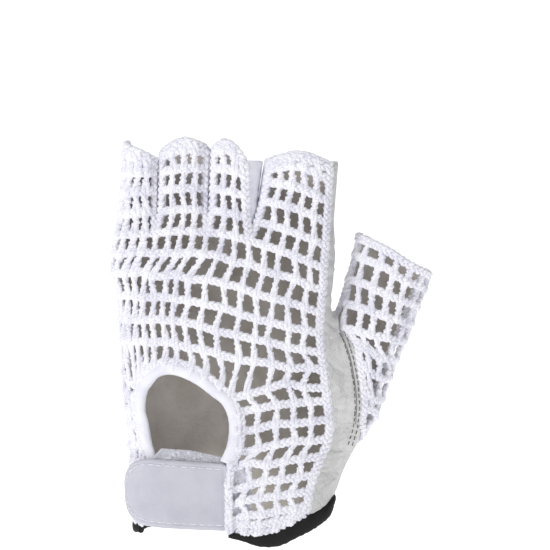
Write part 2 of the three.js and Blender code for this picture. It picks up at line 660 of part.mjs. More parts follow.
// The root seam in the same order, taken from the thumb's own edge
const rootPoints = [
  thumbLeather.points[thumbLeatherNodes[5][leatherColumnsOfThumb]],
  ...[4, 3, 2, 1, 0].map((row) => thumbLeather.points[stripNodes[row][0]]),
  ...thumbNetNodes[0].slice(0, -1).map((i) => thumbNet.points[i]),
  ...thumbLeatherNodes[0].map((i) => thumbLeather.points[i]),
  ...[1, 2, 3, 4].map((row) => thumbLeather.points[thumbLeatherNodes[row][leatherColumnsOfThumb]]),
];
const seamRings = 3;
const rootGap = 0.6;
const rings = [rootPoints.map((p, i) => {
  const count = rootPoints.length;
  const [before, after] = [rootPoints[(i + count - 1) % count].outer, rootPoints[(i + 1) % count].outer];
  const here = new THREE.Vector3(...p.outer);
  const sideways = (from, to) => new THREE.Vector3().subVectors(to, from).cross(new THREE.Vector3(...p.out)).normalize();
  const [first, second] = [sideways(new THREE.Vector3(...before), here), sideways(here, new THREE.Vector3(...after))];
  const away = first.clone().add(second).divideScalar(1 + first.dot(second)); // keeps the gap even round a corner
  return settle(handDistance, away.multiplyScalar(rootGap).add(here).toArray(), -palmInset);
})];
for (let ring = 1; ring < seamRings; ring++) {
  rings.push(rings[0].map((p, i) =>
    settle(handDistance, mixPoint(p, rimPoints[i].outer, ring / seamRings), -palmInset)));
}
const ringNodes = rings.map((points) => points.map((p) => palm.add(wallPoint(handDistance, p, palmWall))));
ringNodes.push(rimNodes);
for (let ring = 0; ring < seamRings; ring++) {
  for (let i = 0; i < rimNodes.length; i++) {
    const j = (i + 1) % rimNodes.length;
    palm.panel(ringNodes[ring][i], ringNodes[ring + 1][i], ringNodes[ring + 1][j], ringNodes[ring][j]);
  }
}
addPiece("palm_leather", palm.geometry(), "leather");

// The leather strips between neighbouring fingers: down the side of one, over the crotch, up the other
const neighbours = [["little", "ring"], ["ring", "middle"], ["middle", "index"]];
const sideColumns = 4;
function sideRow(finger, line, toTheRight) {
  const netColumn = columnsOf[finger][toTheRight ? 1 : 0];
  const palmColumn = toTheRight ? palmStarts[finger] : palmColumns[finger];
  const form = bodyAnd(finger);
  const backEnd = netPoint(line, netColumn, finger).outer;
  const palmEnd = palmPoints.get(palmKey(line, palmColumn, finger)).outer;
  const centreOf = (z) => {
    const [low, high] = fingerSections[finger];
    return mix(low[1], high[1], (z - low[0]) / (high[0] - low[0]));
  };
  const angleOf = (p) => Math.atan2(p[1] - 0.5, (p[0] - centreOf(p[2])) * (toTheRight ? 1 : -1));
  const [from, to] = [angleOf(backEnd) + 0.09, angleOf(palmEnd) - 0.09];
  return Array.from({ length: sideColumns + 1 }, (_, k) => {
    const angle = mix(from, to, k / sideColumns);
    const z = mix(backEnd[2], palmEnd[2], k / sideColumns);
    const direction = [Math.cos(angle) * (toTheRight ? 1 : -1), Math.sin(angle), 0];
    return wallPoint(form, castOut(form, [centreOf(z), 0.5, z], direction, -0.25), sideWall);
  });
}
function crotchRow(left) {
  const backEnd = netPoint(crotchLine, columnsOf[left][1], left).outer;
  const palmEnd = palmPoints.get(palmKey(crotchLine, palmStarts[left], "")).outer;
  const [from, to] = [backEnd[1] + netWall + 0.9, palmEnd[1] - palmInset - palmWall - 0.4];
  return Array.from({ length: sideColumns + 1 }, (_, k) => {
    const t = k / sideColumns;
    const bow = 1 - (2 * t - 1) ** 2;
    const outer = [mix(backEnd[0], palmEnd[0], t), mix(from, to, t), mix(backEnd[2], palmEnd[2], t) + 1.3 + 1.4 * bow];
    return { outer, inner: [outer[0], outer[1], outer[2] - sideWall], out: [0, 0, 1] };
  });
}
for (const [left, right] of neighbours) {
  const strip = new Sheet();
  const lines = [19, 18, 17, 16, 15];
  const rows = [
    ...lines.map((line) => sideRow(left, line, true)),
    crotchRow(left),
    ...[...lines].reverse().map((line) => sideRow(right, line, false)),
  ].map((row) => row.map((point) => strip.add(point)));
  for (let i = 0; i < rows.length - 1; i++) {
    for (let k = 0; k < sideColumns; k++) {
      strip.panel(rows[i][k], rows[i + 1][k], rows[i + 1][k + 1], rows[i][k + 1]);
    }
  }
  addPiece(`fourchette_${left}_${right}`, strip.geometry(), "sideLeather");
}

// A roll: a rounded profile drawn along a path. Each station has a centre, the directions across and outward,
// and its width and height.
function roll(stations, sides = 10, power = 2.6) {
  const places = [];
  const faces = [];
  stations.forEach(({ centre, across, outward, width, height }) => {
    for (let k = 0; k < sides; k++) {
      const angle = (2 * Math.PI * (k + 0.5)) / sides;
      const [c, s] = [Math.cos(angle), Math.sin(angle)];
      const reach = 1 / Math.pow(Math.abs(c) ** power + Math.abs(s) ** power, 1 / power);
      const p = centre.map((value, i) => value + across[i] * c * reach * width / 2 + outward[i] * s * reach * height / 2);
      places.push(...p);
    }
  });
  const last = stations.length - 1;
  for (let i = 0; i < last; i++) {
    for (let k = 0; k < sides; k++) {
      const next = (k + 1) % sides;
      const [a, b, c, d] = [i * sides + k, i * sides + next, (i + 1) * sides + next, (i + 1) * sides + k];
      faces.push(a, b, c, a, c, d);
    }
  }
  for (let k = 1; k < sides - 1; k++) {
    faces.push(0, k + 1, k, last * sides, last * sides + k, last * sides + k + 1);
  }
  return new THREE.BufferGeometry()
    .setAttribute("position", new THREE.Float32BufferAttribute(places, 3))
    .setIndex(faces);
}
const vector = (p) => new THREE.Vector3(...p);
const middleOf = (point) => mixPoint(point.outer, point.inner, 0.5);

// Stations beside a free edge given as wall points, the roll lying on the side that aside points to
function stationsBeside(edge, aside, size, scaleAt) {
  return edge.map((point, i) => {
    const before = vector(middleOf(edge[Math.max(0, i - 1)]));
    const after = vector(middleOf(edge[Math.min(edge.length - 1, i + 1)]));
    const along = after.sub(before).normalize();
    const outward = vector(point.out);
    const across = along.clone().cross(outward).multiplyScalar(aside).normalize();
    const scale = scaleAt(i / (edge.length - 1));
    const width = size.width * scale;
    const centre = vector(middleOf(point)).addScaledVector(across, width / 2 + seamGap + 0.12);
    return { centre: centre.toArray(), across: across.toArray(),
      outward: outward.toArray(), width, height: size.height * Math.max(0.7, scale) };
  });
}

// More stations along a smooth curve through the given ones
function refine(stations, times) {
  const curveOf = (key) => new THREE.CatmullRomCurve3(stations.map((station) => vector(station[key])), false, "centripetal");
  const curves = { centre: curveOf("centre"), across: curveOf("across"), outward: curveOf("outward") };
  const count = (stations.length - 1) * times;
  return Array.from({ length: count + 1 }, (_, i) => {
    const t = i / count;
    const [low, high] = [Math.floor(i / times), Math.min(stations.length - 1, Math.ceil(i / times))];
    const part = i / times - low;
    const at = (key) => curves[key].getPoint(t).toArray();
    const size = (key) => mix(stations[low][key], stations[high][key], part);
    return { centre: at("centre"), across: vector(at("across")).normalize().toArray(),
      outward: vector(at("outward")).normalize().toArray(), width: size("width"), height: size("height") };
  });
}

// The binding round the opening: up beside the thumb side, over the top, down the ulnar side
const openingEdge = [
  ...[4, 5, 6, 7].map((line) => netPoint(line, 13, "index")),
  ...[13, 12, 11, 10, 9, 8, 7, 6, 5, 4].map((column) => netPoint(8, column, fingerOfColumn(column))),
  ...[7, 6, 5, 4].map((line) => netPoint(line, 4, "little")),
];
const openingStations = stationsBeside(openingEdge, -1, edgeRoll, () => 1);
// at the ulnar side the tape runs on, thinner and lower, under the strap's backing
const [beforeLast, lastStation] = openingStations.slice(-2);
const tailStep = vector(lastStation.centre).sub(vector(beforeLast.centre));
for (const [share, depth, height] of [[0.4, 0.9, 3.0], [1.05, 1.3, 2.6]]) {
  const tail = vector(lastStation.centre).addScaledVector(tailStep, share).addScaledVector(vector(lastStation.outward), -depth);
  openingStations.push({ ...lastStation, centre: tail.toArray(), height });
}
addPiece("opening_binding", roll(refine(openingStations, 2)), "binding");

// The binding round the wrist: from the ulnar side of the slit over the palm to the thumb side of the slit,
// where it narrows
const wristEdge = [
  ...[4, 3, 2, 1, 0].map((column) => netPoint(0, column, "little")),
  ...Array.from({ length: palmColumns.little + 1 }, (_, i) => palmPoints.get(palmKey(0, palmColumns.little - i, ""))),
  ...[18, 17, 16, 15, 14, 13].map((column) => netPoint(0, column, "index")),
].filter((point, i, all) => i === 0 || vector(point.outer).distanceTo(vector(all[i - 1].outer)) > 1);
const cuffScale = (t) => mix(0.35, 1, smoothStep((1 - t) / 0.12)) * mix(0.62, 1, smoothStep(t / 0.12));
addPiece("cuff_binding", roll(stationsBeside(wristEdge, -1, cuffRoll, cuffScale), 8), "cuff");

// The strap and its backing lie across the back of the wrist, from under the crochet on the thumb side to
// the ulnar edge. Columns run along s, rows across the strap.
const strapTop = [[-0.1, 21.7], [-2.4, 22.6], [-15.2, 23.6], [-27.2, 24.4], [-35.2, 25.0]]; // x, z
const strapFoot = [[-0.1, -4.0], [-11.2, -3.6], [-25.2, -2.8], [-35.2, -1.6]];
const strapEnds = { thumbSide: -0.1, round: -30, tip: -43 }; // along s
const wristForm = (p) => bodyDistance(p);
const backingLevel = { flap: 1.85, slit: -3.3 }; // its outer face over the ulnar flap, and under the crochet
const backingTop = [[-36, 28.2], [-29.6, 29.0], [-15.2, 28.0], [-2.4, 25.2], [9.6, 22.5]]; // x, z
const backingEnds = { tip: -40.5, thumbSide: 9.6 }; // along s
function strapSpan(s) {
  const past = Math.max(0, (strapEnds.round - s) / (strapEnds.round - strapEnds.tip));
  const top = readTable([...strapTop].reverse(), s)[0];
  const foot = readTable([...strapFoot].reverse(), s)[0];
  const middle = (top + foot) / 2;
  const half = ((top - foot) / 2) * Math.sqrt(Math.max(0, 1 - Math.pow(Math.min(1, past), 2)));
  return [middle - half, middle + half];
}
const layerLevel = (s) => mix(backingLevel.flap, backingLevel.slit, smoothStep((s + 36) / 30));

function layer(columns, rows, spanAt, levelAt, wall) {
  const sheet = new Sheet();
  const nodes = columns.map((s) => {
    const [foot, top] = spanAt(s);
    return Array.from({ length: rows + 1 }, (_, k) => {
      const z = mix(foot, top, k / rows);
      return sheet.add(wallPoint(wristForm, backPlace(s, z, wristForm, levelAt(s)), wall));
    });
  });
  for (let i = 0; i < columns.length - 1; i++) {
    for (let k = 0; k < rows; k++) {
      sheet.panel(nodes[i][k], nodes[i + 1][k], nodes[i + 1][k + 1], nodes[i][k + 1]);
    }
  }
  return sheet.geometry();
}
const evenly = (from, to, count) => Array.from({ length: count + 1 }, (_, i) => mix(from, to, i / count));
const strapColumns = [...evenly(strapEnds.tip + 0.25, strapEnds.round, 8), ...evenly(strapEnds.round, strapEnds.thumbSide, 9).slice(1)];
addPiece("wrist_strap", layer(strapColumns, 6, strapSpan, (s) => layerLevel(s) + 0.35 + strapWall, strapWall), "strap");

function backingSpan(s) {
  const [strapLow, strapHigh] = strapSpan(s);
  const foot = s > strapEnds.thumbSide ? -0.5 : strapLow + 1.2;
  return [foot, mix(readTable(backingTop, s)[0], strapHigh - 1.4, smoothStep((-26 - s) / 6))];
}
addPiece("strap_backing", layer(evenly(backingEnds.tip, backingEnds.thumbSide, 16), 6, backingSpan, layerLevel, backingWall), "fleece");

export default group;
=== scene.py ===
# %% [markdown]
# A fingerless glove for the left hand, in the form it has when worn: a crocheted cotton back and thumb, a soft
# leather palm that wraps round the index side, a rolled binding round the open back, a strap across the wrist
# and a dark bound cuff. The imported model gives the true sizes. This script dresses it: every cloth and leather
# piece is rebuilt with yarn, grain, folds and stitches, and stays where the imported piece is.

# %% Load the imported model
import math
import bpy
import numpy as np
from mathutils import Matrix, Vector


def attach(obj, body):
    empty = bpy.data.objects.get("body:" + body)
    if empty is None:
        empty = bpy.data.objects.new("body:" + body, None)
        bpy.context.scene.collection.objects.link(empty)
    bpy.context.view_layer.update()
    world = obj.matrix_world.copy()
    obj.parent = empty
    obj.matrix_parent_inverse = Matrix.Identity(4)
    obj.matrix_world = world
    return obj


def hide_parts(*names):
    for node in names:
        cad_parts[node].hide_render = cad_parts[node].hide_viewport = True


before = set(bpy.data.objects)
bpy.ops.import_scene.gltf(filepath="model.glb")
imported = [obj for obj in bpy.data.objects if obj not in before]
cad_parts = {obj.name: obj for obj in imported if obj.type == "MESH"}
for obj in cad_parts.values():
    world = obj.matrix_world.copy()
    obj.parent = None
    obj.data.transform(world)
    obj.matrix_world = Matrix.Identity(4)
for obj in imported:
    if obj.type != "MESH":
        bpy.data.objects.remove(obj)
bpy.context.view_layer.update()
rng = np.random.default_rng(7)
print("nodes:", sorted(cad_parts))

# %% [markdown]
# All pieces lie on one form, the hand that the glove is shaped on. It could be sculpted, but a distance
# function is easier to keep true: it tells for any point how far it is outside the hand. The palm and wrist
# are a stack of flattened ovals, each finger is a tapered oval column and the thumb is a row of tapered
# capsules. Where two of them meet, a smooth union rounds the valley between them.

# %% Sizes of the hand, in millimetres
# z, centre x, half width, half depth towards the back, half depth towards the palm
BODY = np.array([
    [-20, 1.0, 39.6, 19.5, 19.5], [0, 1.4, 39.8, 18.8, 19.0], [20, 0.9, 39.9, 17.6, 18.4],
    [48, -0.1, 42.1, 15.6, 17.0], [64, -0.8, 42.8, 14.6, 16.0], [88, -1.3, 43.5, 14.0, 14.6],
    [100, -1.4, 44.2, 13.4, 13.6], [122, -1.4, 43.6, 12.0, 12.4],
])
BODY_TOP = 119
# two heights of each finger: z, centre x, half width, half depth
FINGERS = {
    "little": np.array([[108, -37.3, 8.4, 9.2], [152, -35.1, 7.3, 8.4]]),
    "ring": np.array([[108, -18.8, 10.6, 10.6], [152, -17.7, 10.4, 9.6]]),
    "middle": np.array([[108, 0.2, 9.3, 11.0], [152, 3.9, 11.3, 10.2]]),
    "index": np.array([[108, 25.2, 17.0, 11.6], [152, 30.6, 15.0, 10.6]]),
}
# x, y, z and radius along the thumb
THUMB = np.array([[34.5, 6, 20, 10.6], [45.6, 8, 48, 16.3], [58, 10, 77, 15.2], [70, 12, 114, 17.6],
                  [74, 12.6, 128, 18.4]])
THUMB_FLATNESS = 0.86
FINGER_BLEND = 5
THUMB_BLEND = 13
print("sections of the palm and wrist:", len(BODY))

# %% Blends and tables
def mix(a, b, t):
    """a + (b - a) times t."""
    return a + (b - a) * t


def smooth_step(t):
    """3 t squared less 2 t cubed, with t held between 0 and 1."""
    s = np.clip(t, 0, 1)
    return s * s * (3 - 2 * s)


def read_table(table, at):
    """Straight-line reading of every column of a table whose first column rises."""
    table = np.asarray(table, float)
    return [np.interp(at, table[:, 0], table[:, k]) for k in range(1, table.shape[1])]


def smooth_union(a, b, k):
    """The smaller of two distances, rounded over a width k: mix(b, a, h) - k h (1 - h)."""
    h = np.clip(0.5 + 0.5 * (b - a) / k, 0, 1)
    return mix(b, a, h) - k * h * (1 - h)


print("halfway from 2 to 6:", mix(2, 6, smooth_step(0.5)))

# %% Distances to the palm, a finger and the thumb
def section_distance(dx, dy, a, b, power):
    """Distance to a level oval: r = (|x/a|^n + |y/b|^n)^(1/n), and (r - 1) over the length of r's gradient."""
    u = np.abs(dx) / a
    v = np.abs(dy) / b
    r = np.maximum(1e-6, (u ** power + v ** power) ** (1 / power))
    gx = (u / r) ** (power - 1) / a
    gy = (v / r) ** (power - 1) / b
    return (r - 1) / np.hypot(gx, gy)


def body_distance(p):
    """The palm and wrist: an oval at each height, closed by a rounded top."""
    cx, half, back, palm = read_table(BODY, p[:, 2])
    side = section_distance(p[:, 0] - cx, p[:, 1], half, np.where(p[:, 1] < 0, back, palm), 2.5)
    return -smooth_union(-side, BODY_TOP - p[:, 2], 12)


def finger_distance(name, p):
    """One finger: an oval column that tapers evenly and sinks into the palm below its root."""
    low, high = FINGERS[name]
    t = (np.maximum(96, p[:, 2]) - low[0]) / (high[0] - low[0])
    cx, a, b = [mix(low[k], high[k], t) for k in (1, 2, 3)]
    return section_distance(p[:, 0] - cx, p[:, 1] - 0.5, a, b, 2.3) + 0.35 * np.maximum(0, 100 - p[:, 2])


def thumb_distance(p):
    """Capsules between neighbouring axis points, a little flattened, joined by narrow smooth unions."""
    nearest = None
    for a, b in zip(THUMB[:-1], THUMB[1:]):
        d = b[:3] - a[:3]
        t = np.clip((p - a[:3]) @ d / (d @ d), 0, 1)
        centre = a[:3] + t[:, None] * d
        away = p - centre
        away[:, 1] /= THUMB_FLATNESS
        distance = np.linalg.norm(away, axis=1) - mix(a[3], b[3], t)
        nearest = distance if nearest is None else smooth_union(nearest, distance, 2)
    return nearest


print("distance at the thumb's middle:", thumb_distance(THUMB[2:3, :3]).round(1))

# %% Distance to the whole hand
def body_and(name):
    """The palm with one finger."""
    return lambda p: smooth_union(body_distance(p), finger_distance(name, p), FINGER_BLEND)


def no_thumb(p):
    """The palm with its four fingers."""
    d = body_distance(p)
    for name in FINGERS:
        d = smooth_union(d, finger_distance(name, p), FINGER_BLEND)
    return d


def hand_distance(p):
    """The whole hand. The thumb is joined only below the web."""
    d = no_thumb(p)
    z = p[:, 2]
    joined = smooth_union(d, thumb_distance(p), THUMB_BLEND * smooth_step((92 - z) / 14) + 0.01)
    return np.where(z < 92, joined, d)


print("distance at the palm's centre:", hand_distance(np.array([[0.0, 0.0, 60.0]])).round(1))

# %% [markdown]
# A piece of the glove is a sheet at a chosen depth under the hand form's outer level. Two ways put a point
# there: a ray from inside the form that stops at the surface, and steps along the distance's gradient, which
# pull a nearby point straight onto it. Both run on whole arrays of points at once.

# %% Put points on the form
CAST_REACH = 70


def gradient(field, p, step=0.04):
    """Slope of a distance along x, y and z by central differences: its unit direction and its size."""
    slopes = []
    for k in range(3):
        shift = np.zeros(3)
        shift[k] = step
        slopes.append((field(p + shift) - field(p - shift)) / (2 * step))
    g = np.stack(slopes, 1)
    size = np.linalg.norm(g, axis=1)
    return g / size[:, None], size


def cast_out(field, start, direction, level=0.0):
    """Walk each ray outwards in 0.5 mm steps until the distance passes the level, then halve the last step."""
    start, direction = np.broadcast_arrays(np.asarray(start, float), np.asarray(direction, float))
    far = np.full(len(start), 0.5)
    going = np.ones(len(start), bool)
    while going.any():
        i = np.flatnonzero(going)
        inside = field(start[i] + direction[i] * far[i, None]) < np.broadcast_to(level, len(start))[i]
        far[i[inside]] += 0.5
        going[i] = inside & (far[i] < CAST_REACH)
    near = far - 0.5
    for _ in range(18):
        middle = (near + far) / 2
        inside = field(start + direction * middle[:, None]) < level
        near = np.where(inside, middle, near)
        far = np.where(inside, far, middle)
    return start + direction * near[:, None]


def settle(field, p, level=0.0, times=8):
    """Newton steps along the gradient until the distance equals the level, each at most 3 mm long."""
    q = np.array(p, float)
    for _ in range(times):
        unit, size = gradient(field, q)
        step = np.clip((field(q) - level) / size, -3, 3)
        q = q - unit * step[:, None]
    return q


print("a point pulled onto the form:", settle(hand_distance, np.array([[0.0, -30.0, 60.0]]))[0].round(1))

# %% [markdown]
# The back is worked in rows, from the wrist up. Tables give where each row line runs, measured on the glove:
# line 0 is the wrist edge, lines 8 to 13 cross the knuckles, and above line 14 every finger has its own rows.
# Eighteen columns of posts run across. The place of a crossing is given as s and z, where s is x over the
# middle of the hand and arc length round its outer edge.

# %% Rows and columns of the crochet
TURN = np.array([[-8, -23.6, 15.0], [20, -24.0, 15.0], [48, -27.2, 15.0], [64, -29.0, 14.6], [88, -30.6, 14.2],
                 [104, -33.1, 12.5], [112, -36.0, 9.2], [120, -36.6, 8.2], [152, -35.1, 7.3]])
INDEX_TURN = np.array([[-8, 26.0, 15.0], [20, 26.4, 14.6], [48, 27.6, 14.4], [88, 29.4, 13.0],
                       [112, 31.4, 11.0], [152, 35.4, 10.2]])
TURN_REACH = 2.1
COLUMNS_OF = {"little": (0, 6), "ring": (6, 10), "middle": (10, 13), "index": (13, 18)}
LINES = 20
COLUMNS = 18
CROTCH_LINE = 14
OPENING_LINE = 8
OPENING_COLUMNS = (4, 13)
NET_WALL = 2.4
# line: x left, x right, z left, z middle, z right
FINGER_LINES = {
    "little": {14: (-45.2, -29.2, 113.6, 114.4, 115.2), 15: (-45.2, -28.9, 122.4, 122.8, 123.6),
               16: (-45.2, -28.7, 130.8, 131.2, 132.0), 17: (-45.2, -28.6, 139.2, 139.2, 139.6),
               18: (-45.2, -28.4, 148.0, 146.0, 141.6), 19: (-45.2, -28.2, 152.2, 149.2, 144.8)},
    "ring": {14: (-29.2, -8.4, 115.2, 116.0, 115.6), 15: (-28.0, -8.3, 123.6, 124.4, 124.0),
             16: (-27.8, -8.2, 132.0, 132.8, 132.8), 17: (-27.8, -8.0, 139.6, 140.8, 140.8),
             18: (-27.7, -7.8, 145.6, 148.4, 147.2), 19: (-27.6, -7.6, 148.0, 153.0, 149.6)},
    "middle": {14: (-8.4, 8.8, 115.6, 114.4, 112.0), 15: (-7.3, 8.0, 124.0, 122.8, 121.2),
               16: (-7.1, 7.6, 132.8, 131.6, 129.6), 17: (-6.9, 7.2, 140.8, 140.4, 138.0),
               18: (-6.8, 6.8, 146.8, 148.4, 141.6), 19: (-6.6, 6.6, 149.6, 152.2, 144.0)},
    "index": {14: (8.8, 38.8, 112.0, 106.8, 100.8), 15: (11.2, 39.6, 120.0, 115.6, 110.0),
              16: (13.2, 40.2, 128.0, 124.8, 119.2), 17: (14.8, 40.8, 135.6, 133.2, 127.6),
              18: (15.8, 41.2, 140.8, 141.6, 136.0), 19: (16.4, 41.6, 145.2, 147.6, 143.6)},
}
# line: x at columns 6, 10, 13 and 18, z at columns 0, 6, 10, 13, 15.5 and 18
KNUCKLE_LINES = {
    8: (-35.0, -16.6, 2.6, 39.2, 62.8, 62.6, 60.8, 55.4, 53.6, 52.8),
    9: (-34.8, -16.4, 3.6, 38.6, 71.6, 71.6, 70.0, 64.4, 62.0, 59.6),
    10: (-35.2, -16.8, 3.6, 37.6, 80.4, 80.4, 79.2, 74.0, 70.4, 66.8),
    11: (-35.2, -16.4, 4.0, 37.2, 89.2, 89.6, 88.0, 82.8, 78.0, 74.4),
    12: (-34.0, -14.4, 6.0, 37.4, 98.0, 98.4, 97.2, 92.8, 88.0, 82.8),
    13: (-30.8, -10.4, 8.0, 38.4, 106.0, 107.2, 106.4, 102.8, 97.6, 92.0),
}
# line: x at columns 13 and 18, z at columns 13, 15.5 and 18
THUMB_SIDE_LINES = {
    0: (0.4, 31.6, -4.0, -4.4, 2.4), 1: (0.4, 32.0, 0.8, 3.2, 6.0), 2: (0.4, 33.0, 7.2, 9.6, 11.6),
    3: (0.4, 34.8, 13.6, 16.0, 18.0), 4: (1.6, 37.8, 22.0, 23.2, 25.2), 5: (4.4, 40.6, 28.4, 30.8, 32.4),
    6: (5.6, 40.8, 36.0, 38.4, 40.0), 7: (4.8, 39.8, 43.2, 46.0, 47.6), 8: (1.6, 39.2, 49.6, 53.6, 52.8),
}
# line: x at column 4, z at columns 0 and 4
OUTER_SIDE_LINES = {
    0: (-35.2, 1.2, -1.2), 1: (-35.0, 6.2, 7.0), 2: (-34.8, 13.6, 15.0), 3: (-35.0, 20.8, 23.2),
    4: (-36.0, 28.8, 29.8), 5: (-37.6, 36.8, 38.0), 6: (-38.8, 44.8, 43.0), 7: (-39.0, 53.6, 48.6),
    8: (-38.2, 62.8, 53.6),
}
OPENING_TOP = [(-38.2, 53.6), (-36.9, 56.6), (-34.2, 59.3), (-30.4, 61.8), (-25.6, 63.2), (-20.6, 63.0),
               (-15.0, 61.2), (-9.0, 58.0), (-3.2, 53.6), (1.6, 49.4)]
print("rows and columns of the net:", LINES, COLUMNS)

# %% Where a row meets a column
def curve_through(knots, t):
    """Cubic through knots (t, value), its slope at each knot that of the chord between its neighbours."""
    knots = np.asarray(knots, float)
    x, y = knots[:, 0], knots[:, 1]
    before = np.concatenate([[0], np.arange(len(x) - 1)])
    after = np.concatenate([np.arange(1, len(x)), [len(x) - 1]])
    slope = (y[after] - y[before]) / (x[after] - x[before])
    i = int(np.clip(np.searchsorted(x, t, side="left"), 1, len(x) - 1))
    h = x[i] - x[i - 1]
    u = (t - x[i - 1]) / h
    return (y[i - 1] * (1 + 2 * u) * (1 - u) ** 2 + slope[i - 1] * h * u * (1 - u) ** 2
            + y[i] * u * u * (3 - 2 * u) + slope[i] * h * u * u * (u - 1))


def outer_start(z):
    """s of the seam with the palm, round the outer edge of the hand."""
    centre, radius = read_table(TURN, z)
    return centre - radius * TURN_REACH


def along_from_x(x, z):
    """s for a place whose x is known: the arc sine of its share of the turn's radius, times the radius."""
    centre, radius = read_table(TURN, z)
    return x if x >= centre else centre - radius * math.asin(min(1, (centre - x) / radius))


def crossing(line, column, finger):
    """s and z where a row line meets a column. Neighbouring rows lie a little to either side."""
    weave = 0.09 if line % 2 else -0.09
    if line >= CROTCH_LINE:
        first, last = COLUMNS_OF[finger]
        x_left, x_right, z_left, z_middle, z_right = FINGER_LINES[finger][line]
        ends = 0 if column in (first, last) or line == CROTCH_LINE else weave
        t = (column + ends - first) / (last - first)
        left = outer_start(z_left) if finger == "little" else x_left
        return mix(left, x_right, t), curve_through([(0, z_left), (0.5, z_middle), (1, z_right)], t)
    if line > OPENING_LINE:
        xa, xb, xc, xd, z0, z6, z10, z13, zm, z18 = KNUCKLE_LINES[line]
        c = column + (0 if column in (0, 18) else weave)
        s = curve_through([(0, outer_start(z0)), (6, xa), (10, xb), (13, xc), (18, xd)], c)
        return s, curve_through([(0, z0), (6, z6), (10, z10), (13, z13), (15.5, zm), (18, z18)], c)
    first, last = OPENING_COLUMNS
    if column <= first:
        x, z_outer, z_edge = OUTER_SIDE_LINES[line]
        t = column / first
        return mix(outer_start(z_outer), along_from_x(x, z_edge), t), mix(z_outer, z_edge, t)
    if column >= last:
        x, x_end, z_edge, z_middle, z_end = THUMB_SIDE_LINES[line]
        t = (column + (0 if column in (last, 18) else weave) - last) / (18 - last)
        return mix(x, x_end, t), curve_through([(0, z_edge), (0.5, z_middle), (1, z_end)], t)
    return OPENING_TOP[column - first]


print("s and z of row 12 at column 6:", np.round(crossing(12, 6, ""), 1))

# %% From the chart to the hand
def back_place(s, z, field, level=0.0):
    """A ray from the hand's middle: straight back where s is x, turned by s over the radius round the edge."""
    centre, radius = read_table(TURN, z)
    angle = np.maximum(0, (centre - s) / radius)
    start = np.stack([np.maximum(s, centre), np.zeros_like(s), z], 1)
    direction = np.stack([-np.sin(angle), -np.cos(angle), np.zeros_like(s)], 1)
    return cast_out(field, start, direction, level)


def form_at(line, finger):
    """The form that a row lies on: the whole hand below the crotches, one finger well above them."""
    if line <= CROTCH_LINE:
        return hand_distance
    own = body_and(finger)
    if line > CROTCH_LINE + 1:
        return own
    return lambda p: mix(hand_distance(p), own(p), 0.6)


def has_crossing(line, column):
    """False inside the back opening."""
    return line >= OPENING_LINE or column <= OPENING_COLUMNS[0] or column >= OPENING_COLUMNS[1]


print("crossings of row 3:", sum(has_crossing(3, column) for column in range(COLUMNS + 1)))

# %% Put crossings on the hand
def chart_points(cells):
    """Casts a list of (line, column, finger) crossings onto their form: outer points and outward directions."""
    points = np.zeros((len(cells), 3))
    outward = np.zeros((len(cells), 3))
    forms = {}
    for index, (line, column, finger) in enumerate(cells):
        forms.setdefault(0 if line <= CROTCH_LINE else (min(line, 16), finger), []).append(index)
    for indices in forms.values():
        line, _, finger = cells[indices[0]]
        field = form_at(line, finger)
        s, z = np.array([crossing(*cells[i]) for i in indices], float).T
        points[indices] = back_place(s, z, field)
        outward[indices] = gradient(field, points[indices])[0]
    return points, outward


print("the first crossing lies at", chart_points([(0, 0, "")])[0].round(1))

# %% Fill in beside the chart
def fill_outwards(grid):
    """Gives empty crossings beside the chart a place in line with the two nearest, along rows, then columns."""
    for _ in range(2):
        for axis in (1, 0):
            g = np.moveaxis(grid, axis, 0)
            for i in range(len(g)):
                for a, b in ((i - 1, i - 2), (i + 1, i + 2)):
                    if 0 <= min(a, b) and max(a, b) < len(g):
                        empty = np.isnan(g[i][:, 0]) & ~np.isnan(g[a][:, 0]) & ~np.isnan(g[b][:, 0])
                        g[i][empty] = 2 * g[a][empty] - g[b][empty]
    return grid


def finger_grid(finger, shared):
    """Lines -1 to 20 and columns -1 to 19 of the net that one finger's rows belong to."""
    first, last = COLUMNS_OF[finger]
    cells = [(line, column, finger) for line in range(CROTCH_LINE + 1, LINES)
             for column in range(first, last + 1)]
    points, outward = chart_points(cells)
    grid = shared.copy()
    grid[CROTCH_LINE + 2:] = np.nan
    for (line, column, _), p, out in zip(cells, points, outward):
        grid[line + 1, column + 1] = np.concatenate([p, out])
    if first > 0:
        grid[CROTCH_LINE + 2:, :first + 1] = np.nan
    return fill_outwards(grid)


print("net helper ready")

# %% Chart every crossing
shared_cells = [(line, column, "") for line in range(CROTCH_LINE) for column in range(COLUMNS + 1)
                if has_crossing(line, column)]
shared_cells += [(CROTCH_LINE, column, finger) for finger, (first, last) in COLUMNS_OF.items()
                 for column in range(first, last + 1)]
shared = np.full((LINES + 2, COLUMNS + 3, 6), np.nan)
shared_points, shared_out = chart_points(shared_cells)
for (line, column, _), p, out in zip(shared_cells, shared_points, shared_out):
    shared[line + 1, column + 1] = np.concatenate([p, out])
inner_cells = [(l, c) for l, c, _ in shared_cells if 1 <= l < CROTCH_LINE and 0 < c < 18 and c not in (4, 13)
               and not (l == OPENING_LINE and c < 14)]
for line, column in inner_cells:  # worked by hand, so no two cells are quite alike
    shared[line + 1, column + 1, [0, 2]] += rng.normal(0, 0.46, 2)
NET = {finger: finger_grid(finger, shared) for finger in COLUMNS_OF}
print("crossings charted:", len(shared_cells))

# %% Read the net between its crossings
def cubic_shares(t):
    """Shares of four neighbouring crossings at t between the middle two, on a smooth cubic through them."""
    return np.stack([-t ** 3 + 2 * t ** 2 - t, 3 * t ** 3 - 5 * t ** 2 + 2, -3 * t ** 3 + 4 * t ** 2 + t,
                     t ** 3 - t ** 2], -1) / 2


